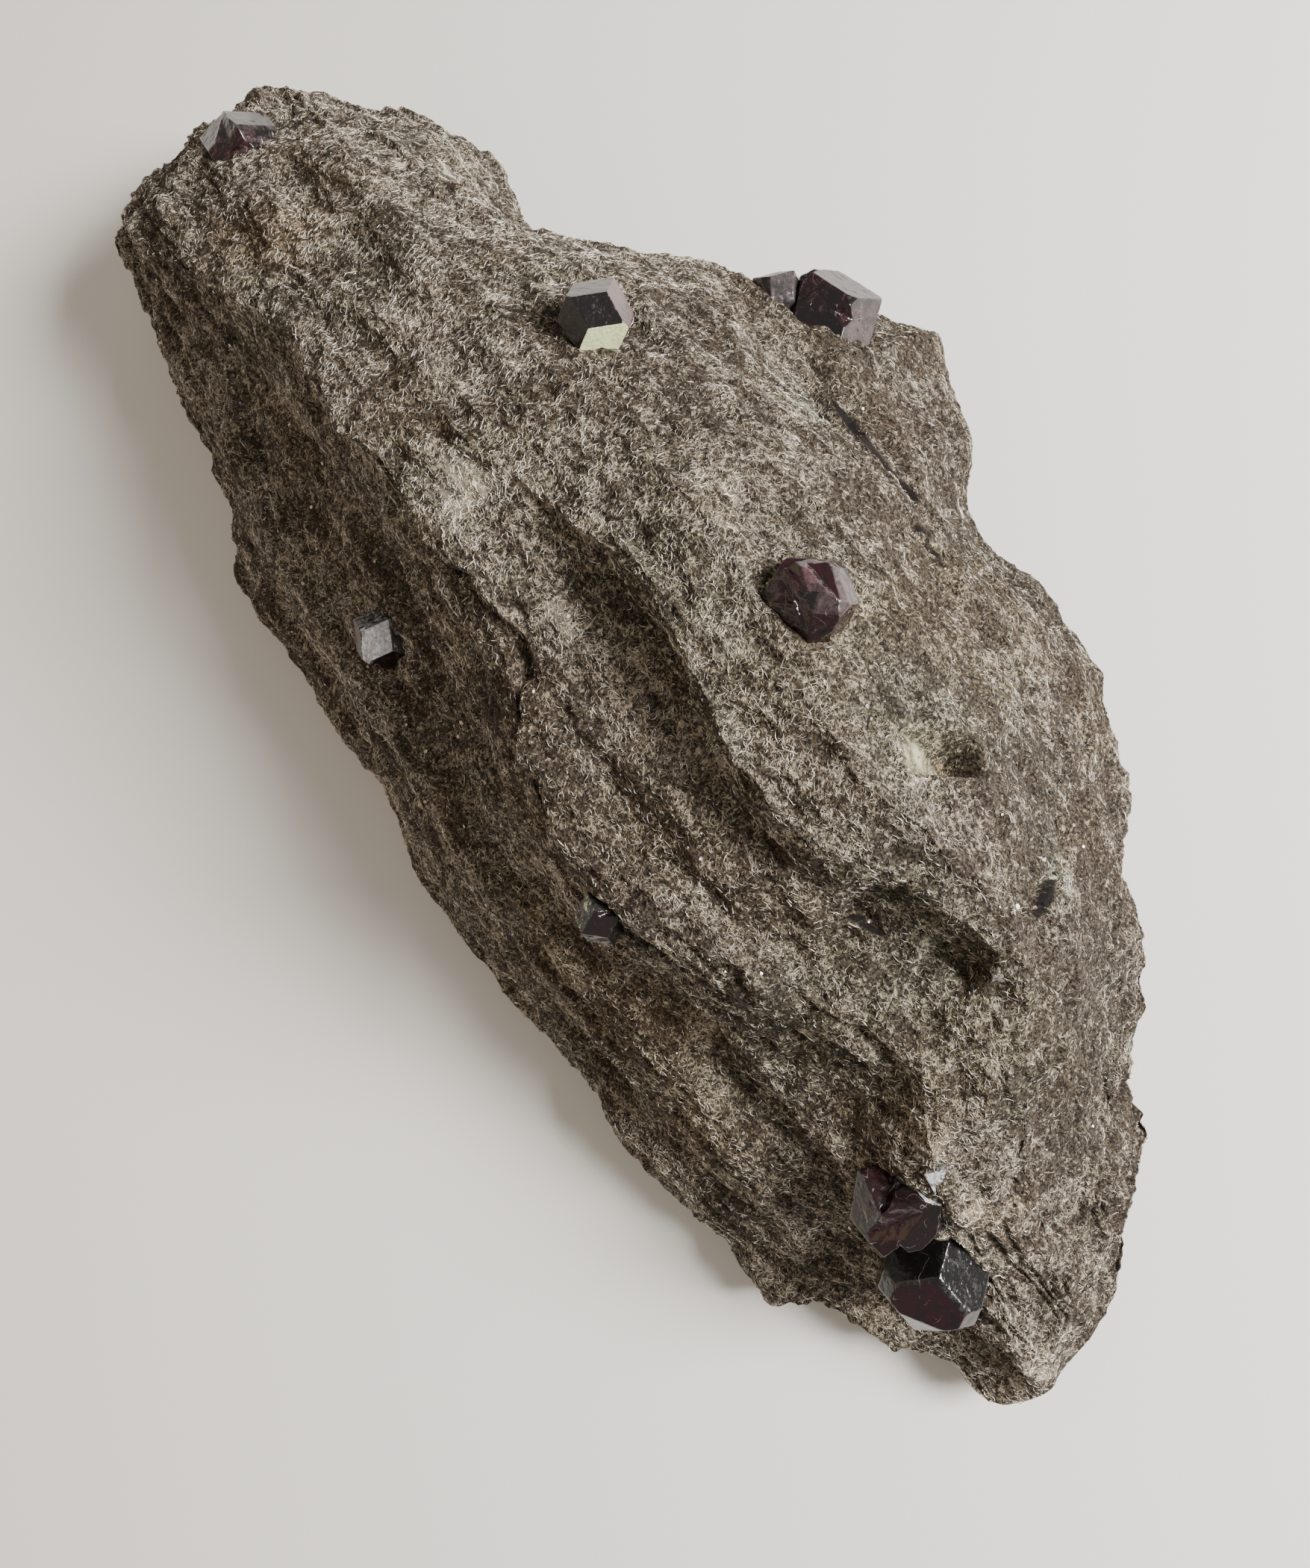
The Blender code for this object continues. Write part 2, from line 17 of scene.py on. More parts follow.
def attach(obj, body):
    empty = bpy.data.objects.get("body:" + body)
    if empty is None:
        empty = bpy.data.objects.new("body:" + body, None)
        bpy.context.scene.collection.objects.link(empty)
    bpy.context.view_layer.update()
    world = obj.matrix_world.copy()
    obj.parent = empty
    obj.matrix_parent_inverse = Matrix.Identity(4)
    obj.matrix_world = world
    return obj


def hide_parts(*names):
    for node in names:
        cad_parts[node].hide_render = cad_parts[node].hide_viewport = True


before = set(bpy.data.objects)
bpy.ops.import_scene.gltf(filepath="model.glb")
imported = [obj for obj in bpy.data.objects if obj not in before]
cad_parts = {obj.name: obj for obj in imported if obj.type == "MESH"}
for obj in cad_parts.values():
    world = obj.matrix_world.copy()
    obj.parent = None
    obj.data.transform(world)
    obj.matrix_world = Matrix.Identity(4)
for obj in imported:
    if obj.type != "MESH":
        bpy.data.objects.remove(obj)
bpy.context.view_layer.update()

MM = 0.001

# ---------------------------------------------------------------- driving dimensions (millimetres)

STONE_START_X = -77.2   # blunt upper end
STONE_END_X = 87.4      # narrow lower tip
REST_START_X = -62.0    # the flat underside runs from here ...
REST_END_X = 74.0       # ... to here; beyond it the underside lifts off the table
END_LIFT_START = 7.0    # how high the underside is at the blunt end
END_LIFT_TIP = 2.2      # and at the tip
FOOT_INSET = 3.2        # the foot stands this far in from the widest line,
FOOT_INSET_SHARE = 0.3  # or this share of the width where the stone is narrow

# Lines along the stone, as (x, y, z).  z is left out where a line lies on the rest plane.
LEFT_EDGE = [
    (-77.2, 10.0, 11.0), (-76.4, 3.4, 12.0), (-75.2, 0.3, 12.5), (-70.0, -1.0, 11.5), (-61.0, -4.3, 8.0),
    (-55.8, -7.1, 7.0), (-50.0, -7.3, 6.0), (-47.5, -8.7, 6.0), (-41.0, -8.6, 6.0), (-35.0, -12.9, 5.0),
    (-28.5, -13.7, 5.0), (-18.5, -13.9, 5.0), (-2.0, -15.4, 5.0), (8.0, -17.6, 5.0), (22.5, -17.4, 5.0),
    (33.0, -15.9, 5.0), (37.5, -14.6, 5.0), (42.5, -16.8, 5.0), (54.0, -14.7, 5.0), (59.0, -13.1, 5.0),
    (65.0, -13.1, 5.0), (69.5, -9.2, 5.0), (77.0, -5.8, 5.0), (81.0, -3.1, 5.0), (83.8, -2.8, 5.0),
    (86.6, -0.7, 5.0), (87.4, 1.2, 5.2),
]
FLANK_BELLY = [
    (-77.2, 10.5, 12.2), (-75.0, 1.6, 13.8), (-61.0, -2.1, 14.0), (-48.0, -3.2, 16.0), (-33.5, -4.5, 18.0),
    (-20.0, -5.9, 19.0), (-6.0, -7.2, 20.0), (5.0, -8.6, 19.0), (15.5, -9.7, 18.0), (26.0, -9.1, 17.0),
    (36.0, -8.1, 17.0), (46.0, -7.5, 16.0), (56.5, -6.5, 14.0), (65.5, -4.3, 11.0), (75.0, -2.0, 9.0),
    (82.2, -0.2, 7.0), (87.4, 1.9, 6.0),
]
SHELF_FOOT = [
    (-77.2, 11.0, 12.6), (-75.0, 3.0, 14.8), (-66.8, 2.0, 17.0), (-54.5, 2.6, 20.0), (-40.0, 4.9, 24.5),
    (-27.0, 5.6, 27.0), (-15.0, 5.4, 29.5), (-5.5, 5.0, 31.0), (4.5, 4.0, 31.5), (11.5, 0.8, 30.5),
    (20.0, -0.8, 29.0), (28.5, -0.4, 28.0), (37.0, 1.8, 27.0), (45.5, 4.6, 26.0), (53.0, 7.0, 24.6),
    (60.5, 3.6, 19.6), (69.0, 1.6, 14.4), (78.0, 1.8, 10.2), (87.4, 2.7, 6.6),
]
SHELF_LIP = [
    (-77.2, 11.5, 13.0), (-75.0, 4.0, 15.8), (-67.5, 3.4, 21.2), (-60.0, 4.6, 24.2), (-50.0, 7.2, 28.2),
    (-40.5, 10.4, 32.2), (-34.5, 11.8, 34.6), (-28.0, 10.3, 36.4), (-21.0, 9.9, 38.3), (-14.5, 10.2, 39.6),
    (-8.0, 9.8, 39.9), (-1.0, 9.8, 39.5), (5.0, 8.9, 38.6), (12.0, 4.8, 37.3), (18.0, 2.8, 36.2),
    (25.0, 2.3, 35.0), (34.0, 3.9, 34.0), (40.0, 6.5, 32.8), (45.5, 11.0, 32.5), (50.5, 11.6, 31.0),
    (54.5, 12.5, 30.0), (57.5, 10.4, 28.5), (62.0, 8.9, 26.0), (68.5, 7.6, 21.5), (77.5, 5.4, 15.0),
    (83.0, 4.0, 11.0), (87.4, 3.2, 7.0),
]
TERRACE = [
    (-77.2, 13.0, 13.2), (-75.0, 7.5, 16.4), (-67.5, 7.0, 22.0), (-50.0, 11.0, 29.0), (-34.0, 14.5, 35.0),
    (-20.0, 14.0, 39.0), (-8.0, 14.0, 41.0), (0.0, 14.0, 40.6), (10.0, 12.0, 39.0), (20.0, 9.8, 37.9),
    (30.0, 9.4, 36.6), (38.0, 11.4, 34.8), (45.0, 15.6, 33.4), (50.0, 17.4, 32.4), (56.0, 13.5, 30.8),
    (62.0, 10.0, 27.2), (70.0, 8.2, 21.3), (80.0, 5.4, 13.4), (87.4, 3.6, 7.2),
]
LEDGE_FOOT = [
    (-77.2, 15.0, 13.4), (-75.0, 11.5, 16.8), (-67.0, 11.0, 22.6), (-50.0, 15.0, 29.5), (-34.0, 17.4, 35.3),
    (-20.0, 17.2, 39.3), (-8.0, 17.6, 41.7), (0.0, 19.4, 42.2), (6.0, 20.4, 41.8), (10.0, 20.8, 41.3),
    (15.0, 20.5, 41.0), (20.0, 18.6, 40.7), (26.0, 17.0, 39.8), (34.0, 16.5, 38.6), (39.0, 18.3, 37.2),
    (42.5, 20.9, 36.0), (46.0, 21.9, 34.2), (50.5, 22.6, 32.6), (52.5, 21.2, 33.0), (58.0, 15.9, 30.2),
    (64.0, 12.0, 26.4), (72.0, 9.6, 20.2), (80.0, 6.8, 13.6), (87.4, 4.0, 7.2),
]
LEDGE_LIP = [
    (-77.2, 17.5, 13.4), (-75.0, 15.4, 16.9), (-66.0, 14.6, 23.4), (-50.0, 18.0, 29.8), (-34.0, 19.2, 35.5),
    (-20.0, 19.0, 39.4), (-8.0, 19.0, 42.1), (0.0, 20.2, 43.2), (6.0, 21.3, 44.2), (10.0, 21.8, 45.0),
    (15.0, 21.6, 45.3), (20.0, 20.0, 45.1), (26.0, 18.7, 44.2), (34.0, 18.7, 42.8), (39.0, 21.1, 41.6),
    (42.5, 23.6, 40.4), (46.0, 24.5, 38.8), (50.5, 25.4, 36.8), (52.5, 24.0, 34.0), (59.0, 18.3, 30.8),
    (65.0, 14.4, 26.2), (73.0, 11.4, 19.6), (80.0, 8.2, 13.6), (87.4, 4.4, 7.2),
]
CREST = [
    (-77.2, 20.0, 13.4), (-75.0, 19.6, 16.4), (-64.0, 19.8, 23.6), (-50.0, 25.0, 29.6), (-40.0, 26.8, 32.6),
    (-26.0, 28.0, 37.2), (-14.0, 28.0, 40.8), (0.0, 28.6, 43.8), (9.0, 29.0, 45.6), (19.0, 27.6, 46.0),
    (27.0, 26.2, 45.4), (34.0, 25.6, 44.2), (41.0, 27.2, 41.6), (49.0, 28.0, 37.6), (54.0, 25.6, 34.4),
    (60.0, 21.4, 30.0), (67.0, 17.2, 24.6), (75.0, 13.2, 17.6), (82.0, 8.8, 11.8), (87.4, 4.8, 6.8),
]
SHOULDER = [
    (-77.2, 21.5, 13.0), (-73.0, 24.0, 17.0), (-62.0, 26.0, 22.6), (-50.0, 31.6, 26.6), (-40.0, 32.4, 29.4),
    (-28.0, 34.4, 33.0), (-18.0, 37.0, 35.8), (-8.0, 38.2, 38.0), (0.0, 38.0, 39.8), (10.0, 38.2, 41.2),
    (20.0, 37.4, 40.6), (30.0, 36.2, 38.8), (40.0, 34.6, 36.0), (50.0, 32.8, 31.6), (58.0, 28.4, 27.2),
    (66.0, 22.4, 22.0), (74.0, 17.4, 16.8), (82.0, 11.0, 11.0), (87.4, 5.0, 6.2),
]
SEAM_LIP = [
    (-77.2, 22.0, 12.4), (-73.5, 25.5, 15.6), (-64.0, 30.2, 18.8), (-50.0, 36.0, 20.6), (-38.0, 36.1, 23.0),
    (-27.0, 39.8, 25.4), (-17.0, 45.5, 27.0), (-9.0, 47.5, 28.4), (-1.0, 45.5, 31.2), (4.5, 44.6, 32.8),
    (9.0, 45.2, 33.4), (15.0, 44.9, 32.6), (21.0, 44.1, 31.4), (32.0, 43.6, 28.4), (42.0, 40.6, 26.4),
    (52.0, 36.4, 23.4), (60.0, 31.2, 20.4), (68.0, 25.1, 17.0), (76.0, 19.3, 13.8), (82.5, 12.9, 9.6),
    (87.4, 5.3, 5.8),
]
SLAB_TOP = [
    (-77.2, 22.3, 11.6), (-73.5, 26.1, 14.2), (-65.0, 32.7, 15.6), (-50.0, 38.5, 16.4), (-40.0, 37.4, 17.6),
    (-30.0, 41.8, 18.6), (-20.0, 49.4, 19.4), (-9.0, 51.7, 23.0), (-1.0, 51.6, 26.0), (6.0, 50.4, 25.6),
    (12.0, 49.7, 25.4), (20.0, 48.1, 23.8), (30.0, 48.5, 21.6), (40.0, 46.6, 19.6), (50.0, 41.2, 18.0),
    (60.0, 34.9, 16.4), (68.0, 27.9, 14.4), (76.0, 22.3, 11.6), (82.5, 14.8, 8.6), (87.4, 5.5, 5.2),
]
RIGHT_EDGE = [
    (-77.2, 22.4, 10.6), (-75.6, 25.6, 12.0), (-73.0, 26.6, 12.5), (-70.0, 27.0, 13.0), (-64.7, 34.6, 12.5),
    (-58.6, 38.3, 12.0), (-54.8, 40.1, 11.5), (-48.8, 40.6, 11.5), (-40.0, 38.4, 12.0), (-34.0, 40.7, 12.0),
    (-27.5, 45.1, 12.0), (-20.0, 51.7, 12.5), (-13.0, 55.5, 13.0), (-7.0, 59.0, 13.0), (-1.0, 63.5, 12.5),
    (3.0, 61.4, 12.0), (9.8, 59.2, 12.0), (16.8, 53.0, 12.0), (20.5, 52.9, 12.0), (26.0, 54.3, 12.0),
    (35.5, 52.9, 12.0), (47.0, 46.8, 12.0), (53.0, 41.3, 12.0), (64.0, 35.4, 11.0), (69.0, 28.9, 10.0),
    (74.0, 27.4, 9.5), (79.0, 20.5, 9.0), (83.3, 16.2, 8.0), (86.2, 10.2, 6.0), (87.4, 5.7, 4.8),
]
LINES_ACROSS = [LEFT_EDGE, FLANK_BELLY, SHELF_FOOT, SHELF_LIP, TERRACE, LEDGE_FOOT, LEDGE_LIP, CREST,
                SHOULDER, SEAM_LIP, SLAB_TOP, RIGHT_EDGE]

# Low lumps of the felted skin, longer along the stone than across it.
LUMP_LENGTH = 12.0
LUMP_WIDTH = 6.5
LUMP_HEIGHT = 0.7
NUB_LENGTH = 5.0
NUB_WIDTH = 3.0
NUB_HEIGHT = 0.45

# Single swellings (positive height) and hollows (negative), as
# (x, y, z, half length, half width, degrees that the long way turns from +X, height).
SWELLS = [
    (-72.0, 25.5, 18.0, 5.0, 4.0, 60.0, 1.6),     # knob beside the end garnet
    (-56.0, -1.0, 16.0, 7.0, 5.0, -20.0, 1.2),    # buttress on the upper flank
    (-28.0, -9.0, 13.0, 9.0, 6.0, -10.0, 1.4),    # belly below the flank garnet
    (40.0, -6.0, 18.0, 14.0, 5.0, 6.0, 1.2),      # long belly on the lower flank
    (44.0, 9.5, 32.5, 6.0, 3.0, 25.0, 0.9),       # bench at the foot of the ledge
    (49.0, 22.4, 33.4, 3.2, 1.5, 28.0, -1.2),     # pocket where the ledge ends
    (41.0, 18.4, 35.8, 3.2, 0.9, 21.0, -0.8),     # short fold below the ledge
    (20.0, 16.2, 39.8, 14.0, 2.2, -3.0, -0.7),    # gutter along the foot of the ledge
    (14.0, 47.6, 31.0, 5.0, 1.6, -8.0, -1.9),     # gap under the seam's lip
    (2.0, 47.4, 31.5, 6.0, 1.8, -12.0, -1.0),     # its shallow upper run
    (48.0, -1.5, 24.0, 9.0, 2.5, 12.0, -1.2),     # groove below the shelf
    (68.0, 17.0, 22.0, 8.0, 3.5, -30.0, -1.1),    # dish beside the tip's ridge
    (66.0, 30.5, 13.0, 6.0, 2.5, -40.0, -1.3),    # notch in the lower right edge
    (-44.0, 34.5, 21.0, 5.0, 4.0, 10.0, -1.1),    # saddle above the upper right edge
]

# Crystals: the faces are named by their Miller indices, and stand this share of the crystal's half
# width from its centre unless the crystal gives its own share.
DODECAHEDRON = [(1, 1, 0), (1, -1, 0), (-1, 1, 0), (-1, -1, 0), (1, 0, 1), (1, 0, -1),
                (-1, 0, 1), (-1, 0, -1), (0, 1, 1), (0, 1, -1), (0, -1, 1), (0, -1, -1)]

# name: centre, half width between opposite faces, turn about X, Y, Z in degrees, own shares.
# A face that is not one of the twelve is a bevel or a break.
CRYSTALS = {
    "end_garnet": ((-64.8, 19.2, 21.2), 3.9, (-5, 12, 35), {(0, 1, 1): 0.9, (1, 1, 2): 1.05}),
    "green_faced_garnet": ((-12.7, 33.9, 40.1), 2.95, (94, -23, 25), {
        (1, 1, 0): 0.95, (1, 0, -1): 0.76, (0, 1, -1): 0.76, (0, 1, 1): 1.05}),
    "edge_garnet_small": ((-10.6, 50.5, 23.8), 2.2, (38, 10, 12), {(1, 1, 2): 1.06}),
    "edge_garnet_large": ((-6.4, 53.3, 21.8), 4.1, (52, -6, 69), {
        (0, 1, 1): 0.94, (1, 1, 1): 1.1, (1, 1, 0): 0.9}),
    "broken_garnet": ((20.3, 31.2, 44.6), 3.2, (45, 15, 103), {
        (0, 1, 1): 1.0, (1, 1, 2): 1.02, (-1, 1, 2): 1.0, (0, 0, 1): 1.18, (-4, 1, 1): 0.86,
        (2, 1, 1): 1.06, (1, 2, 1): 1.04, (-1, 2, 1): 1.05, (-1, -1, 1): 1.08}),
    "flank_garnet": ((-9.0, -0.6, 24.7), 2.6, (-30, 14, 20), {(2, 1, 1): 1.05}),
    "shelf_garnet": ((27.7, 0.9, 32.5), 1.9, (-52, 20, -15), {(1, 1, 2): 1.04}),
    "twin_garnet_upper": ((63.4, 5.2, 21.4), 3.9, (-40, 25, 10), {
        (1, 1, 1): 0.98, (2, -1, 1): 1.02, (-1, 1, 2): 0.96}),
    "twin_garnet_lower": ((70.8, 3.0, 15.9), 4.6, (54, -40, -123), {
        (2, 1, 1): 1.12, (1, 2, 1): 1.12, (1, 1, -1): 1.04, (1, 0, 0): 1.2, (0, 1, 0): 1.2}),
}
# Crystals that have grown into each other are one piece.
GROWN_TOGETHER = {
    "edge_garnets": ("edge_garnet_small", "edge_garnet_large"),
    "twin_garnets": ("twin_garnet_upper", "twin_garnet_lower"),
}
# A garnet has dropped out of the top here; only its mould is left.
LOST_CRYSTAL = ((35.5, 32.3, 39.5), 2.6, (-12, 37, 52), {
    (-3, 0, -5): 0.90, (2, 0, -1): 1.56, (0, 0, -1): 1.42, (0, 3, -1): 0.62, (0, -3, -1): 0.82,
    (-1, 1, 0): 1.7, (-1, -1, 0): 1.54, (1, -1, 0): 1.75, (1, 1, 0): 1.9, (-1, 0, -1): 1.4,
    (0, 1, -1): 1.5, (0, -1, -1): 1.5, (1, 0, -1): 2.2, (1, 0, 1): 1.9, (-1, 0, 1): 1.7, (0, 1, 1): 1.7,
    (0, -1, 1): 1.7})

# The middle of the block's box in the frame that the sizes above are measured in.
CENTRE_X = 5.1
CENTRE_Y = 22.73


# Relief of the skin as (height, length, width, seed).  The broad lumps are those of the solid, kept
# lower; the sharp ones rise to thin crests, as split schist does.
BROAD_RELIEF = [(0.5 * LUMP_HEIGHT, LUMP_LENGTH, LUMP_WIDTH, 3), (0.5 * NUB_HEIGHT, NUB_LENGTH, NUB_WIDTH, 8),
                (0.13, 0.9, 0.6, 24)]
SHARP_RELIEF = [(0.30, 8.0, 2.4, 21), (0.18, 3.0, 1.3, 22), (0.13, 1.4, 0.8, 23)]
SKIN_CREASE = 0.85
SKIN_STATIONS = 512
SKIN_STEPS_ACROSS = [13, 28, 36, 38, 26, 22, 18, 32, 35, 36, 22, 32, 13]
SKIN_UNDERSIDE_STEPS = 20
STATION_CROWDING = 0.11   # stations stand closer together in the middle of the stone than at its ends
# The sharp crests are lower on the upper platform, the more so from the first x and z to the second.
CALM_SHARE = 0.65
CALM_X = (-12.0, -30.0)
CALM_Z = (22.0, 28.0)

# Split layers as (height, length, width, seed, steps in a unit, share taken by each riser).
SPLIT_LAYERS = (1.0, 13.0, 4.2, 26, 2.6, 0.16)

# Open cracks as (points in plan, depth, half width, paleness of the lips).
CRACKS = [
    ([(2.6, 46.9), (5.4, 46.7), (8.7, 46.3), (11.5, 46.1), (14.0, 46.4), (16.4, 46.9)], 1.3, 0.42, 0.3),
    ([(16.5, 44.0), (19.2, 44.3), (22.0, 43.6)], 0.6, 0.30, 0.2),
    ([(48.6, 33.7), (49.4, 32.4), (49.8, 31.7), (50.1, 30.9), (50.6, 29.4)], 1.8, 0.58, 0.15),
    ([(39.5, 17.6), (41.5, 18.4), (44.4, 19.3)], 0.5, 0.35, 0.0),
]
# Ledges with a small undercut as (points in plan, depth of the undercut, how far it reaches).  The low
# side is on the right of the route.
LEDGES = [
    ([(-29.0, 12.4), (-25.4, 10.6), (-22.6, 9.7), (-19.1, 10.4), (-16.3, 11.2), (-12.7, 10.7), (-9.7, 9.6),
      (-6.8, 9.2), (-4.1, 9.6), (-2.2, 10.9), (0.3, 11.0), (2.9, 11.2), (5.4, 11.0), (8.1, 9.3),
      (10.6, 6.9), (12.9, 4.8), (16.0, 3.6), (19.5, 2.8)], 1.2, 1.7),
    ([(-46.8, 5.1), (-41.4, 6.0), (-34.9, 7.4), (-28.7, 8.4), (-22.3, 8.7)], 0.6, 1.3),
    ([(-31.4, -5.0), (-25.8, -3.5), (-22.4, -2.9), (-18.7, 0.0), (-14.6, 0.1), (-11.2, 0.6)], 0.7, 1.3),
    ([(40.9, 8.0), (42.5, 11.1), (45.6, 11.4), (48.7, 12.7), (51.3, 14.1), (55.2, 12.4), (58.2, 8.8)],
     0.9, 1.5),
    ([(39.6, 20.8), (42.0, 22.1), (45.1, 23.3), (49.0, 24.0), (52.4, 23.8)], 0.5, 0.8),
    ([(x, y) for x, y, z in LEDGE_LIP if -12.0 < x < 40.0], 0.5, 0.9),
]
LEDGE_WANDER = 0.6        # how far a ledge strays from its route ...
WANDER_LENGTH = 2.6       # ... and over what length
LEDGE_EDGE = (-0.15, 0.25)   # the drop starts and is complete this far right of the route
LEDGE_RUN_OUT = 4.0       # a ledge fades out over this stretch at either end

# Looks of the lost crystal's mould by wall as (paler, greener, rustier).  Walls with a negative paler value
# are darkened as painted shade; the pale green left wall (-3, 0, -5) is partly its own pale mica and partly
# painted light.
MOULD_WALL_TONES_AND_SHADE = {(-3, 0, -5): (0.40, 0.35, 0.2), (0, 0, -1): (-0.10, 0.0, 0.5), (2, 0, -1): (-0.40, 0.0, 0.2),
               (0, 3, -1): (-0.30, 0.0, 0.1), (0, -3, -1): (-0.10, 0.1, 0.1)}

# Patches of other colour as (x, y, z, half length, half width, turn, paler, greener, rustier); some of them
# are painted light and shade, as marked.
PATCHES_OF_COLOUR_AND_SHADE = [
    (-7.2, 16.4, 41.2, 4.2, 2.2, 20, 0.50, 0.0, 0.0),
    (9.1, 32.9, 43.6, 4.0, 1.5, -39, 0.50, 0.0, 0.0),
    (24.0, 33.5, 42.0, 3.6, 2.5, -20, 0.35, 0.15, 0.0),
    (41.1, 11.0, 33.3, 3.4, 1.5, 10, 0.50, 0.0, 0.0),
    (48.7, 34.6, 31.0, 3.0, 2.5, 0, 0.35, 0.5, 0.0),
    (2.2, 44.4, 31.8, 4.6, 3.0, -20, 0.30, 0.8, 0.0),
    (83.6, 5.4, 10.9, 2.6, 1.8, 0, 0.60, 0.0, 0.2),
    (60.0, 11.4, 28.2, 3.6, 1.6, 0, 0.50, 0.0, 0.3),
    (67.4, 10.1, 23.6, 3.4, 1.4, -20, 0.50, 0.0, 0.35),
    (-46.7, 16.4, 30.5, 8.0, 4.0, 25, 0.05, 0.0, 0.45),
    (-54.0, 12.6, 27.3, 5.0, 3.0, 0, 0.10, 0.0, 0.3),
    # Pale green patch beside the lost crystal's mould: partly pale mica, partly the painted light of the
    # mould's lit wall.
    (33.8, 31.0, 38.9, 2.4, 1.7, -39, 0.60, 0.35, 0.1),
    # Darker along the terrace below the ledge: painted shade of the ledge, with some rust.
    (26.0, 9.5, 36.5, 22.0, 5.5, 10, -0.18, 0.0, 0.30),
    (38.0, 14.0, 35.0, 9.0, 5.0, 10, -0.12, 0.0, 0.0),
    # Darker and rustier on the lower flank: painted shade.
    (36.0, -6.0, 19.0, 20.0, 6.5, 0, -0.10, 0.0, 0.40),
    (62.0, 24.0, 24.0, 11.0, 7.0, -20, -0.20, 0.0, 0.15),
    # Paler on the upper flank: painted light.
    (-36.0, -1.0, 20.0, 12.0, 5.0, 0, 0.12, 0.0, 0.0),
]
# Corners of the silvery plate that lies on the stone against the upper of the two joined garnets.
MICA_PLATE = [(61.9, 9.0, 26.6), (62.6, 11.0, 27.0), (63.9, 8.6, 25.7)]
MICA_PLATE_THICKNESS = 1.6
# White flecks as (x, y, z, half length, half width, turn).
FLECKS = [
    (13.9, 46.6, 29.0, 1.3, 0.35, -60),
    (16.1, 52.0, 16.0, 1.5, 0.45, -10),
    (52.2, 24.2, 34.6, 0.8, 0.45, 60),
    (47.4, 34.1, 32.0, 1.1, 0.35, 60),
]

# Paleness of the felt: its middle value, and (share, length, width, seed) of the noises that vary it.
MIDDLE_PALENESS = 0.50
PALENESS_NOISES = [(0.16, 9.0, 5.0, 41), (0.36, 3.6, 2.2, 42), (0.40, 1.1, 0.8, 43)]
SEAM_SLAB_SHADE = 0.29   # how much darker the slab beside the long seam is

NEEDLES_IN_A_MAT = 32000
MATS_OF_FELT = 5
NEEDLE_LENGTH = (0.35, 1.25)
NEEDLE_RADIUS = (0.026, 0.048)
# Needles run along a slowly turning flow (radians, over so many millimetres) and stray from it; they
# bend sideways, arch up and tip by shares of their length.
FLOW_SWING = 1.1
FLOW_LENGTH = 14.0
HEADING_STRAY = 1.05
BEND_STRAY = 0.17
ARCH_SHARE = 0.16
TIP_STRAY = 0.06
# Tint of a needle, from dark at 0 to cream at 1: its base, how far it follows the felt, its own stray.
TINT_BASE = -0.21
TINT_FOLLOWS = 0.86
TINT_STRAY = 0.42

MICA_FLAKES = 3000
FLAKE_RADIUS = 0.06      # of the smallest flake
FLAKE_GROWTH = 0.13      # the largest is so much wider
FLAKE_HEIGHT = 0.06      # of a flake's middle above the skin
FLAKE_HALF_THICKNESS = 0.02
FLAKE_TILT = 0.35

# Distance between the points of a garnet's skin, and how round its edges are as a share of its size.
GARNET_SPACING = 0.155
GARNET_ROUNDING = 0.008
RING_CROWDING = 1.35     # above 1 the rings of a face crowd towards its outline
RIPPLE_DEPTH = 0.020
RIPPLE_LENGTHS = (0.9, 0.4)
ROUGH_BREAK_DEPTH = 0.05   # ripples add this much inside a notch
CHIP_DEPTH = 0.30
CHIP_LENGTH = 0.7
CHIPS_PER_BITE = 4
BREAK_STRAY = 0.55       # how far notches stray from the broken side

# Seen from above the long way of the block runs down the frame.
CAMERA_PLACE = (45.08, 18.57, 145.0)
CAMERA_TARGET = (18.76, 11.27, 20.0)
CAMERA_UP = (-0.768, 0.628, 0.125)
CAMERA_LENS = 30.0
FRAME_LONG_SIDE = 36.0

# Metres.  Lights as (name, towards it, its width, power, colour).
FLOOR_HALF_WIDTH = 0.9
LIGHT_DISTANCE = 0.5
SKY_COLOUR = (1.0, 0.97, 0.93, 1.0)
SKY_STRENGTH = 0.31
LIGHTS = [
    ("window", (0.50, 0.64, 0.64), 0.20, 7.1, (1.0, 0.98, 0.95)),
    ("fill", (-0.5, -0.75, 0.6), 0.5, 0.60, (1.0, 0.68, 0.38)),
]


# ---------------------------------------------------------------- the stone's shape

def smooth_curve(knots, values, at):
    """Cubic through the knots that is level at each high or low one, so it never overshoots."""
    knots = np.asarray(knots, float)
    values = np.asarray(values, float)
    shape = (-1,) + (1,) * (values.ndim - 1)
    width = np.diff(knots).reshape(shape)
    slope = np.diff(values, axis=0) / width
    same_way = slope[:-1] * slope[1:] > 0
    blend = np.where(same_way, slope[:-1] + slope[1:], 1.0)
    inner = np.where(same_way, 2 * slope[:-1] * slope[1:] / blend, 0.0)
    tangent = np.concatenate([slope[:1], inner, slope[-1:]])
    span = np.clip(np.searchsorted(knots, at, side="right") - 1, 0, len(knots) - 2)
    step = (at - knots[span]) / np.diff(knots)[span]
    step = step.reshape(shape)
    width = width[span]
    rise = values[span + 1] - values[span]
    return (values[span] + rise * (3 * step ** 2 - 2 * step ** 3)
            + width * tangent[span] * (step ** 3 - 2 * step ** 2 + step)
            + width * tangent[span + 1] * (step ** 3 - step ** 2))


def ease(edge, inner, value):
    """0 at edge, 1 at inner, smooth between."""
    step = np.clip((value - edge) / (inner - edge), 0.0, 1.0)
    return step * step * (3 - 2 * step)


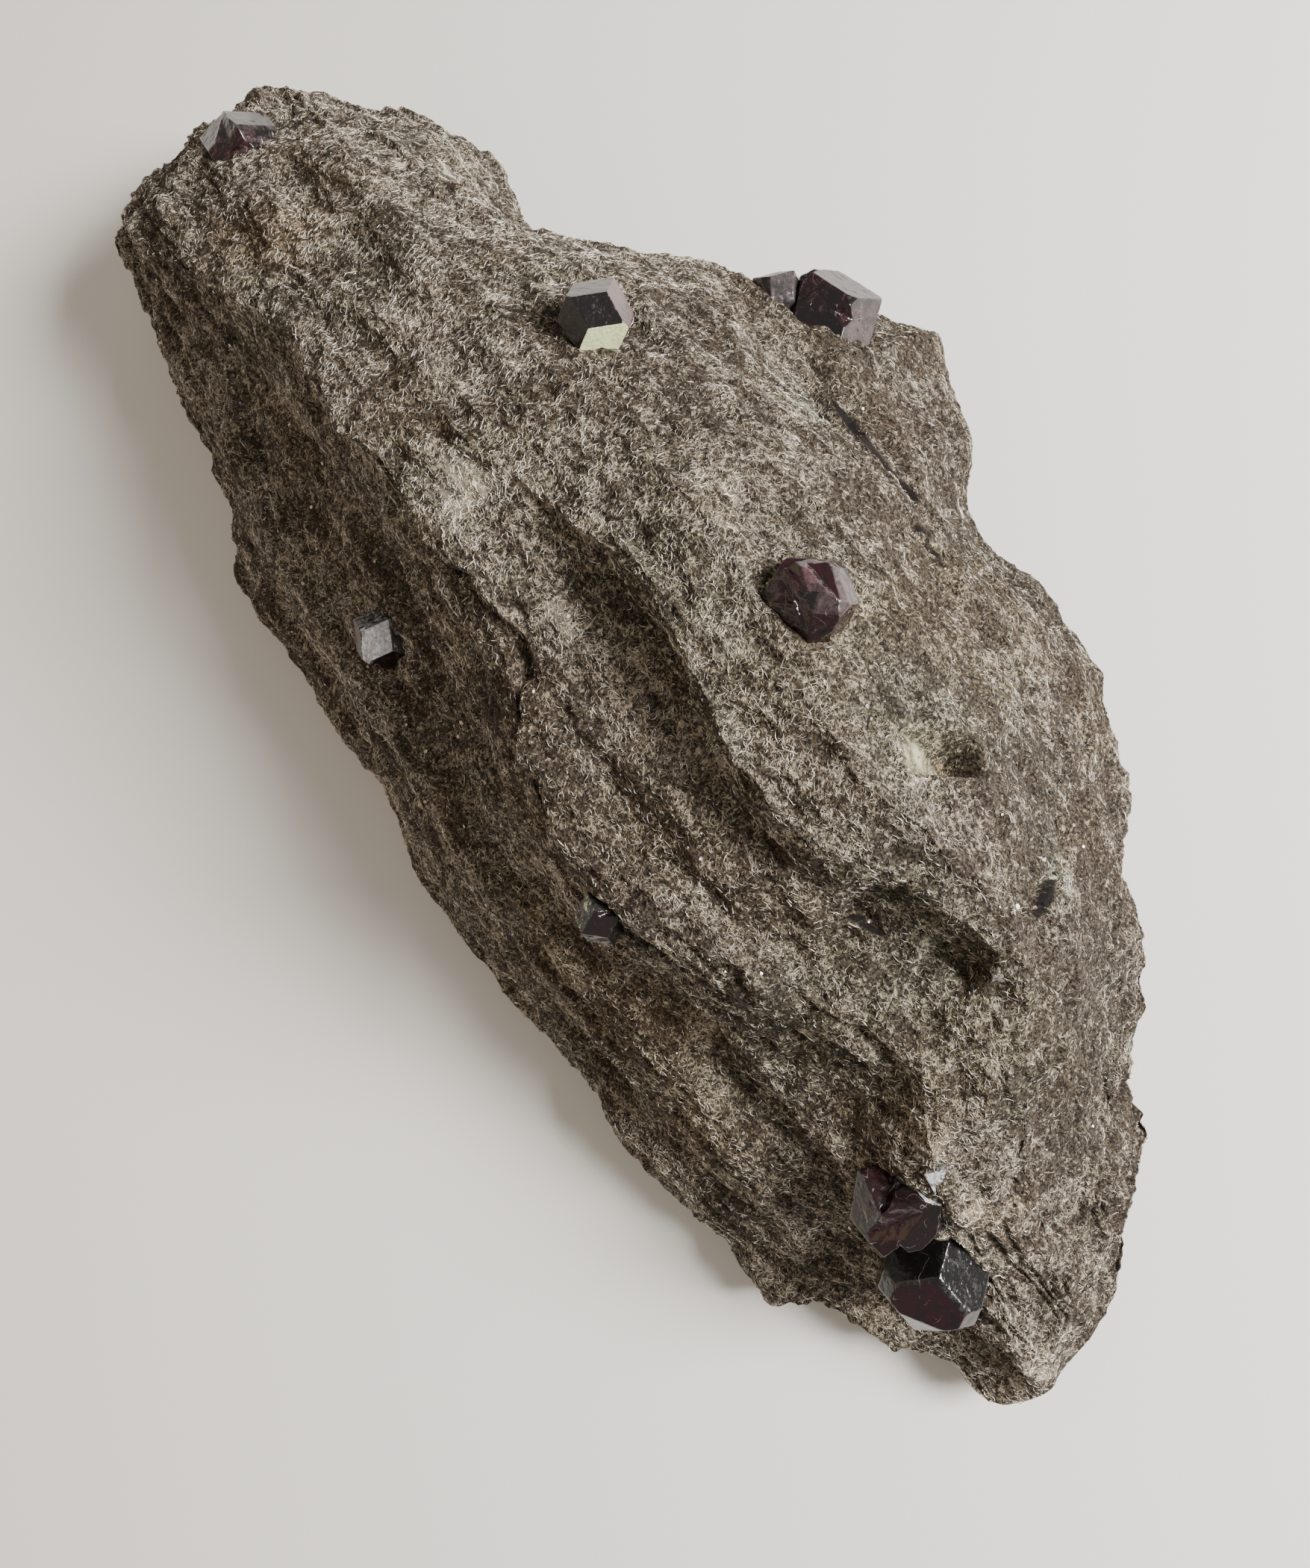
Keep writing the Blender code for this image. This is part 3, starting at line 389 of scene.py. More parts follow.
def lattice_noise(points, seed):
    """Random values from -1 to 1 on a unit lattice, eased between the eight nearest lattice points."""
    cell = np.floor(points).astype(np.int64)
    part = points - cell
    part = part ** 3 * (part * (part * 6 - 15) + 10)
    total = np.zeros(points.shape[:-1])
    for corner in range(8):
        side = np.array([corner & 1, corner >> 1 & 1, corner >> 2 & 1])
        key = (cell + side) @ np.array([374761393, 668265263, 1274126177]) + seed * 974634777
        key = key & 0xFFFFFFFF
        key = ((key ^ (key >> 13)) * 1103515245) & 0xFFFFFFFF
        key = ((key ^ (key >> 15)) * 668265263) & 0xFFFFFFFF
        value = (key ^ (key >> 16)) / 2147483648.0 - 1.0
        weight = np.prod(np.where(side, part, 1 - part), axis=-1)
        total += value * weight
    return total


def rest_height(x):
    """Height of the underside: on the table in the middle, lifting towards both ends."""
    start = END_LIFT_START * ease(REST_START_X, STONE_START_X, x)
    tip = END_LIFT_TIP * ease(REST_END_X, STONE_END_X, x)
    return start + tip


def block_lines(x):
    """y and z of every line at every slice, the two feet included: arrays of line by slice."""
    along = [smooth_curve([p[0] for p in line], [p[1:] for p in line], x) for line in LINES_ACROSS]
    lines = np.stack(along)
    inset = np.minimum(FOOT_INSET, FOOT_INSET_SHARE * (lines[-1, :, 0] - lines[0, :, 0]))
    left_foot = np.stack([lines[0, :, 0] + inset, rest_height(x)], axis=-1)
    right_foot = np.stack([lines[-1, :, 0] - inset, rest_height(x)], axis=-1)
    return np.concatenate([left_foot[None], lines, right_foot[None]])


def outward_normals(grid):
    """Unit normals of a grid of slices by points around: across the slices, closed the other way."""
    along = np.gradient(grid, axis=0)
    around = np.roll(grid, -1, axis=1) - np.roll(grid, 1, axis=1)
    normal = np.cross(along, around)
    return normal / np.maximum(np.linalg.norm(normal, axis=-1, keepdims=True), 1e-9)


def oval(points, x, y, z, half_length, half_width, turn):
    """1 in the middle of a soft oval, its long way turned from +X by the given degrees, 0 far off."""
    away = points - np.array([x, y, z])
    c, s = math.cos(math.radians(turn)), math.sin(math.radians(turn))
    lengthways = (away[..., 0] * c + away[..., 1] * s) / half_length
    crossways = (away[..., 1] * c - away[..., 0] * s) / half_width
    return np.exp(-(lengthways ** 2 + crossways ** 2 + (away[..., 2] / (1.6 * half_width)) ** 2))


def route_distance(points, route):
    """Distance in plan from the nearest stretch of a route, above 0 on its right and below 0 on its
    left, and distance from the nearer of its two ends."""
    route = np.array(route)
    plan = points[..., :2]
    nearest = np.full(plan.shape[:-1], 1e9)
    right = np.ones(plan.shape[:-1])
    for start, end in zip(route[:-1], route[1:]):
        along = end - start
        away = plan - start
        share = np.clip(away @ along / (along @ along), 0.0, 1.0)
        gap = np.linalg.norm(away - share[..., None] * along, axis=-1)
        side = np.sign(away[..., 0] * along[1] - away[..., 1] * along[0])
        right = np.where(gap < nearest, side, right)
        nearest = np.minimum(nearest, gap)
    ends = [np.linalg.norm(plan - place, axis=-1) for place in (route[0], route[-1])]
    return nearest * right, np.minimum(*ends)


def crack_distance(points, route, half_width):
    """Distance from a crack in half widths; the crack narrows to a point at both ends."""
    gap, to_end = route_distance(points, route)
    return np.abs(gap) / (half_width * np.clip(to_end / 2.0, 0.25, 1.0))


def split_layers(points):
    """A smooth noise cut into steps: flat treads with short risers, higher on the flanks."""
    height, length, width, seed, steps, riser = SPLIT_LAYERS
    level = steps * lattice_noise(points / np.array([length, width, width]), seed)
    tread = np.floor(level)
    flank = 0.35 + 0.65 * ease(40.0, 30.0, points[..., 2])
    return height * flank * (tread + ease(1 - riser, 1.0, level - tread) - 0.5 * (level - tread)) / steps


def skin_relief(points):
    """Height above the plain skin: lumps, sharp-crested folds (low on the upper platform), split layers,
    swells, ledges and cracks."""
    height = split_layers(points)
    for rise, length, width, seed in BROAD_RELIEF:
        height += rise * lattice_noise(points / np.array([length, width, width]), seed)
    calm = 1 - CALM_SHARE * ease(*CALM_X, points[..., 0]) * ease(*CALM_Z, points[..., 2])
    for rise, length, width, seed in SHARP_RELIEF:
        crests = 0.5 - 2 * np.abs(lattice_noise(points / np.array([length, width, width]), seed))
        height += rise * calm * crests
    for *place, swell in SWELLS:
        height += swell * oval(points, *place)
    wander = points + LEDGE_WANDER * lattice_noise(points / WANDER_LENGTH, 27)[..., None]
    for route, depth, reach in LEDGES:
        below, to_end = route_distance(wander, route)
        cut = ease(*LEDGE_EDGE, below) * np.exp(-np.maximum(below, 0.0) / reach)
        height -= depth * cut * ease(0.0, LEDGE_RUN_OUT, to_end)
    for route, depth, half_width, _ in CRACKS:
        height -= depth * np.exp(-crack_distance(points, route, half_width) ** 2)
    return height


def crystal_planes(crystal, clearance=0.0):
    """Centre, unit normals and distances in millimetres of a crystal's faces, turned into place."""
    centre, half_width, turn, own_shares = crystal
    faces = dict.fromkeys(DODECAHEDRON, 1.0)
    faces.update(own_shares)
    normals = np.array(list(faces), float)
    normals /= np.linalg.norm(normals, axis=1, keepdims=True)
    turned = np.array(Euler([math.radians(angle) for angle in turn]).to_matrix())
    reach = np.array(list(faces.values())) * half_width + clearance
    return np.array(centre, float), normals @ turned.T, reach, list(faces)


def sink_into_mould(points, crystal):
    """Points inside the crystal drop along its upright until they meet one of its far faces; also
    gives how far they drop and which face they meet."""
    centre, faces, reach, _ = crystal_planes(crystal)
    upright = np.array(Euler([math.radians(angle) for angle in crystal[2]]).to_matrix())[:, 2]
    inside = reach - (points - centre) @ faces.T
    speed = -(faces @ upright)
    travel = np.where(speed > 0.05, inside / np.maximum(speed, 0.05), 1e9)
    depth = np.where(inside.min(axis=-1) > 0, travel.min(axis=-1), 0.0)
    return points - upright * depth[..., None], depth, travel.argmin(axis=-1)


def stone_skin(stations, steps, underside_steps):
    """Grid of the stone's skin, its outward normals and the number of the mould's wall at each point,
    -1 outside the mould."""
    even = np.linspace(0.0, 1.0, stations)
    even = even - STATION_CROWDING * np.sin(2 * math.pi * even)
    x = STONE_START_X + (STONE_END_X - STONE_START_X) * even
    lines = block_lines(x)
    chord = np.linalg.norm(np.diff(lines, axis=0), axis=-1).mean(axis=1)
    knots = np.concatenate([[0.0], np.cumsum(chord)])
    places = [np.linspace(knots[i], knots[i + 1], count, endpoint=False) for i, count in enumerate(steps)]
    places = np.concatenate(places + [knots[-1:]])
    straight = np.stack([np.interp(places, knots, line) for line in lines.reshape(len(knots), -1).T])
    straight = straight.T.reshape((len(places),) + lines.shape[1:])
    over = (1 - SKIN_CREASE) * smooth_curve(knots, lines, places) + SKIN_CREASE * straight
    share = np.linspace(0.0, 1.0, underside_steps + 1)[1:-1].reshape(-1, 1, 1)
    under = over[-1] + (over[0] - over[-1]) * share
    yz = np.concatenate([over, under]).transpose(1, 0, 2)
    grid = np.concatenate([np.broadcast_to(x[:, None, None], yz.shape[:2] + (1,)), yz], axis=-1)
    lifted = np.zeros(grid.shape[:2])
    lifted[:, :len(places)] = ease(0.0, knots[1], places) * ease(knots[-1], knots[-2], places)
    lifted *= (ease(STONE_START_X, STONE_START_X + 3, x) * ease(STONE_END_X, STONE_END_X - 4, x))[:, None]
    grid = grid + outward_normals(grid) * (skin_relief(grid) * lifted)[..., None]
    grid, depth, wall = sink_into_mould(grid, LOST_CRYSTAL)
    return grid, outward_normals(grid), np.where(depth > 0.05, wall, -1)


def at_places(field, along, around):
    """Value of a grid field between its points: straight between stations and between columns."""
    i = np.clip(np.floor(along).astype(int), 0, field.shape[0] - 2)
    s = np.clip(along - i, 0, 1)
    j = np.floor(around).astype(int)
    t = around - j
    near, far = j % field.shape[1], (j + 1) % field.shape[1]
    extra = (1,) * (field.ndim - 2)
    s, t = s.reshape(s.shape + extra), t.reshape(t.shape + extra)
    low = field[i, near] * (1 - t) + field[i, far] * t
    high = field[i + 1, near] * (1 - t) + field[i + 1, far] * t
    return low * (1 - s) + high * s


# ---------------------------------------------------------------- making meshes

def mesh_piece(name, points, faces, material, smooth=True, values=None):
    """Object at the origin from points in millimetres; values are named numbers kept at each point."""
    mesh = bpy.data.meshes.new(name)
    shifted = (points.reshape(-1, 3) - np.array([CENTRE_X, CENTRE_Y, 0.0])) * MM
    faces = np.asarray(faces)
    mesh.vertices.add(len(shifted))
    mesh.vertices.foreach_set("co", shifted.astype(np.float32).ravel())
    mesh.loops.add(faces.size)
    mesh.loops.foreach_set("vertex_index", faces.ravel().astype(np.int32))
    mesh.polygons.add(len(faces))
    mesh.polygons.foreach_set("loop_start", np.arange(0, faces.size, faces.shape[1], dtype=np.int32))
    mesh.polygons.foreach_set("use_smooth", np.full(len(faces), smooth))
    for label, numbers in (values or {}).items():
        kept = mesh.attributes.new(label, "FLOAT", "POINT")
        kept.data.foreach_set("value", np.asarray(numbers, np.float32).ravel())
    mesh.update(calc_edges=True)
    mesh.validate()
    mesh.materials.append(material)
    item = bpy.data.objects.new(name, mesh)
    bpy.context.collection.objects.link(item)
    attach(item, "root")
    return item


def closed_grid_faces(slices, around):
    """Four-cornered faces of a grid whose rows are loops, and the fans that close either end row to one
    more point."""
    index = np.arange(slices * around).reshape(slices, around)
    beside = np.roll(index, -1, axis=1)
    sides = np.stack([index[:-1], index[1:], beside[1:], beside[:-1]], axis=-1).reshape(-1, 4)
    hub = np.full(around, slices * around)
    start = np.stack([index[0], beside[0], hub], axis=-1)
    end = np.stack([beside[-1], index[-1], hub], axis=-1)
    return sides, (start, end)


# ---------------------------------------------------------------- shader shorthand

class Value:
    """A shader socket that can be used in arithmetic; every operation adds one Math node."""

    def __init__(self, nodes, socket):
        self.nodes = nodes
        self.socket = socket

    def maths(self, operation, *others, clamp=False):
        settings = {"operation": operation, "use_clamp": clamp}
        return self.nodes.add("ShaderNodeMath", settings, self, *others)[0]

    def __add__(self, other):
        return self.maths("ADD", other)

    def __sub__(self, other):
        return self.maths("SUBTRACT", other)

    def __rsub__(self, other):
        return self * -1.0 + other

    def __mul__(self, other):
        return self.maths("MULTIPLY", other)

    __radd__ = __add__
    __rmul__ = __mul__

    def between(self, low, high):
        """0 below low, 1 above high, straight between; low may be the larger."""
        return self.maths("SUBTRACT", low).maths("DIVIDE", high - low, clamp=True)


class Finish:
    """A material being built up: add() makes a node from its type, settings and socket values."""

    def __init__(self, name, **constants):
        self.material = bpy.data.materials.new(name)
        self.material.use_nodes = True
        self.tree = self.material.node_tree
        self.shader = self.tree.nodes["Principled BSDF"]
        for socket, value in constants.items():
            self.shader.inputs[socket.replace("_", " ")].default_value = value

    def add(self, kind, settings, *sockets, **named):
        node = self.tree.nodes.new(kind)
        for key, setting in settings.items():
            setattr(node, key, setting)
        inputs = dict(enumerate(sockets))
        inputs.update({key.replace("_", " "): value for key, value in named.items()})
        for key, value in inputs.items():
            if isinstance(value, Value):
                self.tree.links.new(value.socket, node.inputs[key])
            elif value is not None:
                node.inputs[key].default_value = value
        return [Value(self, socket) for socket in node.outputs]

    def place(self):
        """Object coordinates in millimetres."""
        where = self.add("ShaderNodeTexCoord", {})[3]
        return self.add("ShaderNodeVectorMath", {"operation": "SCALE"}, where, Scale=1.0 / MM)[0]

    def noise(self, size, detail=3.0, roughness=0.55):
        """Cloudy noise from 0 to 1 with lumps of size millimetres."""
        return self.add("ShaderNodeTexNoise", {}, self.place(), Scale=1.0 / size, Detail=detail,
                        Roughness=roughness)[0]

    def squiggles(self, size, width, offset):
        """1 along thin curling lines, where a smooth noise crosses its middle value, 0 elsewhere."""
        where = self.add("ShaderNodeMapping", {}, self.place(), Location=offset)[0]
        noise = self.add("ShaderNodeTexNoise", {}, where, Scale=1.0 / size, Detail=1.0, Distortion=0.6)[0]
        return (noise - 0.5).maths("ABSOLUTE").between(width, 0.0)

    def kept(self, label):
        """A number kept at each point of the mesh."""
        return self.add("ShaderNodeAttribute", {"attribute_name": label})[2]

    def blend(self, share, first, second):
        """Colour that goes from first at share 0 to second at share 1."""
        node = self.tree.nodes.new("ShaderNodeMix")
        node.data_type = "RGBA"
        for key, value in ((0, share), (6, first), (7, second)):
            if isinstance(value, Value):
                self.tree.links.new(value.socket, node.inputs[key])
            else:
                node.inputs[key].default_value = value if key == 0 else (*value, 1.0)
        return Value(self, node.outputs[2])

    def feed(self, socket, value):
        self.tree.links.new(value.socket, self.shader.inputs[socket])

    def bump(self, height, depth):
        """Bump of depth millimetres between height 0 and 1."""
        raised = self.add("ShaderNodeBump", {}, Strength=1.0, Distance=depth * MM, Height=height)[0]
        self.feed("Normal", raised)


# ---------------------------------------------------------------- the stone

def mottling(points):
    """How pale, green and rusty the felt is at each point, mostly from 0 to 1; the slab beside the long
    seam is a little darker.  Some patches and the middles of the open cracks carry painted light and shade."""
    pale = np.full(points.shape[:-1], MIDDLE_PALENESS)
    for share, length, width, seed in PALENESS_NOISES:
        pale += share * lattice_noise(points / np.array([length, width, width]), seed)
    pale -= SEAM_SLAB_SHADE * ease(-12.0, 2.0, points[..., 1] + 0.4 * points[..., 0] - 50.0)
    green = 0.25 * lattice_noise(points / 11.0, 44)
    rust = 0.25 * lattice_noise(points / 8.0, 45)
    for x, y, z, half_length, half_width, turn, paler, greener, rustier in PATCHES_OF_COLOUR_AND_SHADE:
        share = oval(points, x, y, z, half_length, half_width, turn)
        pale += paler * share
        green += greener * share
        rust += rustier * share
    # The lips of open cracks are paler; their middles are darkened as painted shade.
    for route, _, half_width, lips in CRACKS:
        away = crack_distance(points, route, half_width)
        pale += lips * np.exp(-(away - 2.2) ** 2) - 1.2 * np.exp(-away ** 2)
    return np.clip(pale, 0.0, 1.2), np.clip(green, 0.0, 1.0), np.clip(rust, 0.0, 1.0)


def painted_crack_shade(points):
    """1 in the depth of an open crack, 0 outside: where the cracks are darkened with painted shade."""
    nearest = [crack_distance(points, route, half_width) for route, _, half_width, _ in CRACKS]
    return np.exp(-np.min(nearest, axis=0) ** 2)


def schist_finish():
    """Dark brown ground under a felt of thin pale squiggles, thicker where the stone is pale."""
    finish = Finish("schist", Roughness=0.8, Specular_IOR_Level=0.25)
    pale, green, rust = finish.kept("pale"), finish.kept("green"), finish.kept("rust")
    dark = finish.blend(green, (0.066, 0.048, 0.033), (0.054, 0.062, 0.037))
    dark = finish.blend(rust, dark, (0.110, 0.070, 0.033))
    dark = finish.blend(finish.noise(0.26, 2.0).between(0.42, 0.60), (0.010, 0.008, 0.006), dark)
    fair = finish.blend(green, (0.47, 0.40, 0.30), (0.38, 0.40, 0.27))
    fair = finish.blend(rust, fair, (0.46, 0.33, 0.17))
    threads = finish.squiggles(0.62, 0.040, (0.0, 0.0, 0.0))
    for number, size in enumerate((0.85, 0.50, 1.2), start=1):
        threads = threads.maths("MAXIMUM", finish.squiggles(size, 0.040, (7.3 * number, 3.1, 5.7 * number)))
    broken = finish.noise(0.55, 2.0)
    felted = threads * (broken - 0.58 + pale * 0.32).between(0.0, 0.14)
    felted = felted.maths("MAXIMUM", pale.between(0.9, 1.5))
    colour = finish.blend(felted, dark, fair)
    grain = finish.noise(0.30, 2.0)
    colour = finish.blend(grain.between(0.64, 0.74) * 0.45, colour, (0.46, 0.42, 0.34))
    colour = finish.blend((finish.kept("white") + grain * 0.6).between(0.7, 0.9), colour, (0.80, 0.78, 0.72))
    # Near-black in the depth of open cracks: painted shade.
    colour = finish.blend(finish.kept("crack_shade").between(0.25, 0.55), colour, (0.006, 0.004, 0.003))
    finish.feed("Base Color", colour)
    finish.feed("Roughness", 0.86 - grain.between(0.62, 0.74) * 0.4)
    finish.bump(felted * 0.6 + grain * 0.4, 0.20)
    return finish.material


def stone_pieces(skin):
    """The skin as two halves that share the loop of points in the middle."""
    grid = skin[0]
    middle = grid.shape[0] // 2
    finish = schist_finish()
    pieces = []
    for name, part, end in (("schist_upper_end", slice(0, middle + 1), 0),
                            ("schist_tip_end", slice(middle, None), -1)):
        half, walls = grid[part], skin[2][part]
        sides, caps = closed_grid_faces(*half.shape[:2])
        points = np.concatenate([half.reshape(-1, 3), half[end].mean(axis=0)[None]])
        triangles = np.concatenate([sides[:, [0, 1, 2]], sides[:, [0, 2, 3]], caps[end]])
        pale, green, rust = mottling(points)
        names = list(dict.fromkeys([*DODECAHEDRON, *LOST_CRYSTAL[3]]))
        # Painted shade darkens the mould's walls that turn away from the light; the left wall is paler,
        # partly pale mica and partly painted light.
        for wall, changes in MOULD_WALL_TONES_AND_SHADE.items():
            there = np.append(walls.ravel() == names.index(wall), False)
            for kept, change in zip((pale, green, rust), changes):
                kept[there] += change
        white = sum(oval(points, *fleck) for fleck in FLECKS)
        pieces.append(mesh_piece(name, points, triangles, finish,
                                 values={"pale": pale, "green": green, "rust": rust, "white": white,
                                         "crack_shade": painted_crack_shade(points)}))
    return pieces


# ---------------------------------------------------------------- the felt of needles

def inside_crystals(points, clearance):
    """True where a point lies inside any garnet grown by clearance."""
    found = np.zeros(points.shape[:-1], bool)
    for crystal in CRYSTALS.values():
        centre, faces, reach, _ = crystal_planes(crystal, clearance)
        found |= np.all((points - centre) @ faces.T < reach, axis=-1)
    return found


def scattered_places(skin, count, seed, evenness):
    """Random places on the skin above the table, as grid steps along and around, with the generator
    that made them.  A place is as likely as its surface is large and its evenness is high."""
    grid = skin[0]
    random = np.random.default_rng(seed)
    along = grid[1:] - grid[:-1]
    across = np.roll(grid, -1, axis=1) - grid
    area = np.linalg.norm(np.cross(along, across[:-1]), axis=-1)
    above = ease(0.4, 2.0, grid[:-1, :, 2])
    weight = np.cumsum((area * above * evenness[:-1]).ravel())
    cell = np.searchsorted(weight, random.random(count) * weight[-1])
    i, j = np.divmod(cell, grid.shape[1])
    return i + random.random(count), j + random.random(count), random


def surface_frame(skin, along, around):
    """Place, normal and the two grid directions (millimetres per grid step) at each place."""
    grid, normals, _ = skin
    place = at_places(grid, along, around)
    normal = at_places(normals, along, around)
    normal /= np.linalg.norm(normal, axis=-1, keepdims=True)
    down = at_places(grid, along + 0.5, around) - at_places(grid, along - 0.5, around)
    beside = at_places(grid, along, around + 0.5) - at_places(grid, along, around - 0.5)
    return place, normal, down, beside


def grid_steps(direction, down, beside):
    """Steps along and around the grid that move by the given tangent vector."""
    aa = (down * down).sum(-1)
    ab = (down * beside).sum(-1)
    bb = (beside * beside).sum(-1)
    ra = (down * direction).sum(-1)
    rb = (beside * direction).sum(-1)
    size = np.maximum(aa * bb - ab * ab, 1e-6)
    return (ra * bb - rb * ab) / size, (rb * aa - ra * ab) / size


def felt_mat(skin, evenness, number, material):
    """Closed three-sided needles, each bent along the skin and arched off it: a point, a ring of
    three in the middle and a point."""
    along, around, random = scattered_places(skin, NEEDLES_IN_A_MAT, 100 + number, evenness)
    place, normal, down, beside = surface_frame(skin, along, around)
    clear = ~inside_crystals(place, 0.05) & (at_places(skin[2] + 1.0, along, around) < 0.01)
    along, around, place, normal, down, beside = (
        part[clear] for part in (along, around, place, normal, down, beside))
    count = len(along)
    lengthways = down / np.linalg.norm(down, axis=-1, keepdims=True)
    sideways = np.cross(normal, lengthways)
    flow = FLOW_SWING * lattice_noise(place / FLOW_LENGTH, 51) + random.normal(0.0, HEADING_STRAY, count)
    heading = lengthways * np.cos(flow)[:, None] + sideways * np.sin(flow)[:, None]
    turning = np.cross(normal, heading)
    low, high = NEEDLE_LENGTH
    length = low + (high - low) * random.random(count) ** 2.2
    bend = random.normal(0.0, BEND_STRAY, count) * length
    step_a, step_b = grid_steps(heading * (length / 2)[:, None], down, beside)
    bend_a, bend_b = grid_steps(turning * bend[:, None], down, beside)
    share = np.array([-1.0, 0.0, 1.0])
    arch = 1 - share ** 2
    path = at_places(skin[0], along[:, None] + step_a[:, None] * share + bend_a[:, None] * arch,
                     around[:, None] + step_b[:, None] * share + bend_b[:, None] * arch)
    stray = np.linalg.norm(path - place[:, None], axis=-1).max(axis=1) > length
    stray |= inside_crystals(path, 0.02).any(axis=1)
    for route, _, half_width, _ in CRACKS:
        stray |= (crack_distance(path, route, half_width) < 1.1).any(axis=1)
    radius = NEEDLE_RADIUS[0] + (NEEDLE_RADIUS[1] - NEEDLE_RADIUS[0]) * random.random(count)
    lift = random.random(count) ** 2 * ARCH_SHARE * length
    tilt = random.normal(0.0, TIP_STRAY, count) * length
    height = lift[:, None] * arch + tilt[:, None] * share + radius[:, None] * 0.4
    path = path + normal[:, None, :] * np.maximum(height, -0.02)[..., None]
    forward = path[:, 2] - path[:, 0]
    forward /= np.maximum(np.linalg.norm(forward, axis=-1, keepdims=True), 1e-6)
    side = np.cross(normal, forward)
    side /= np.maximum(np.linalg.norm(side, axis=-1, keepdims=True), 1e-6)
    upward = np.cross(forward, side)
    angle = np.array([math.pi / 2, math.pi * 7 / 6, math.pi * 11 / 6])
    ring = side[:, None, :] * np.cos(angle)[:, None] + upward[:, None, :] * np.sin(angle)[:, None]
    ring *= radius[:, None, None]
    points = np.concatenate([path[:, :1], path[:, 1:2] + ring, path[:, 2:]], axis=1)[~stray]
    place, count = place[~stray], int(np.sum(~stray))
    shape = [(0, 2, 1), (0, 3, 2), (0, 1, 3), (4, 1, 2), (4, 2, 3), (4, 3, 1)]
    faces = (np.array(shape)[None] + 5 * np.arange(count)[:, None, None]).reshape(-1, 3)
    pale, green, rust = mottling(place)
    # Needle tint follows the felt's paleness, and with it the painted light and shade of some patches and of
    # the cracks.
    tint = np.clip(TINT_BASE + TINT_FOLLOWS * pale + random.normal(0.0, TINT_STRAY, count), 0.0, 1.0)
    warmth = np.clip(random.random(count) + 0.8 * rust - 0.7 * green, -0.5, 1.5)
    values = {"tint": np.repeat(tint, 5), "warmth": np.repeat(warmth, 5)}
    return mesh_piece(f"felt_mat_{number}", points, faces, material, smooth=False, values=values)


def needle_finish():
    """Cream to grey-brown needles with a soft silky gleam."""
    finish = Finish("needles", Roughness=0.5, Specular_IOR_Level=0.3)
    tint = finish.kept("tint")
    warmth = finish.kept("warmth")
    dark = finish.blend(warmth, (0.012, 0.010, 0.008), (0.100, 0.070, 0.045))
    fair = finish.blend(warmth, (0.91, 0.87, 0.78), (0.93, 0.84, 0.69))
    finish.feed("Base Color", finish.blend(tint.between(0.05, 0.95), dark, fair))
    return finish.material


def mica_scatter(skin, evenness):
    """Thin six-sided plates lying at all tilts on the skin."""
    along, around, random = scattered_places(skin, MICA_FLAKES, 77, evenness)
    place, normal, down, _ = surface_frame(skin, along, around)
    keep = ~inside_crystals(place, 0.05)
    place, normal, down = place[keep], normal[keep], down[keep]
    count = len(place)
    normal = normal + random.normal(0.0, FLAKE_TILT, (count, 3))
    normal /= np.linalg.norm(normal, axis=-1, keepdims=True)
    first = np.cross(normal, down)
    first /= np.linalg.norm(first, axis=-1, keepdims=True)
    second = np.cross(normal, first)
    angle = np.arange(6) * math.pi / 3 + random.random(count)[:, None] * math.pi
    size = FLAKE_RADIUS + FLAKE_GROWTH * random.random(count) ** 3
    wide = size[:, None] * (1 + 0.5 * random.random((count, 6)))
    rim = (first[:, None] * (np.cos(angle) * wide)[..., None]
           + second[:, None] * (np.sin(angle) * wide)[..., None])
    middle = place[:, None] + normal[:, None] * FLAKE_HEIGHT
    thick = normal[:, None] * FLAKE_HALF_THICKNESS
    points = np.concatenate([middle + rim - thick, middle + rim + thick], axis=1)
    shape = [(0, k + 1, k) for k in range(1, 5)] + [(6, k + 6, k + 7) for k in range(1, 5)]
    for k in range(6):
        m = (k + 1) % 6
        shape += [(k, m, m + 6), (k, m + 6, k + 6)]
    faces = (np.array(shape)[None] + 12 * np.arange(count)[:, None, None]).reshape(-1, 3)
    finish = Finish("mica", Roughness=0.22, Metallic=0.55)
    tone = finish.kept("tone")
    finish.feed("Base Color", finish.blend(tone, (0.12, 0.09, 0.06), (0.45, 0.42, 0.36)))
    values = {"tone": np.repeat(random.random(count), 12)}
    return mesh_piece("mica_flakes", points, faces, finish.material, smooth=False, values=values)


# ---------------------------------------------------------------- the garnets

def ordered_corners(faces, reach, number):
    """Corners of one face of a convex crystal about the origin, in order around its normal, or None for
    a face that the others cut away."""
    corners = []
    for pair in itertools.combinations(range(len(reach)), 2):
        planes = faces[[number, *pair]]
        if number in pair or abs(np.linalg.det(planes)) < 0.01:
            continue
        corner = np.linalg.solve(planes, reach[[number, *pair]])
        if np.all(faces @ corner < reach + 1e-6):
            corners.append(corner)
    corners = np.unique(np.round(np.reshape(corners, (-1, 3)), 5), axis=0)
    if len(corners) < 3:
        return None
    middle = corners.mean(axis=0)
    first = corners[0] - middle
    second = np.cross(faces[number], first)
    spoke = corners - middle
    return corners[np.argsort(np.arctan2(spoke @ second, spoke @ first))]


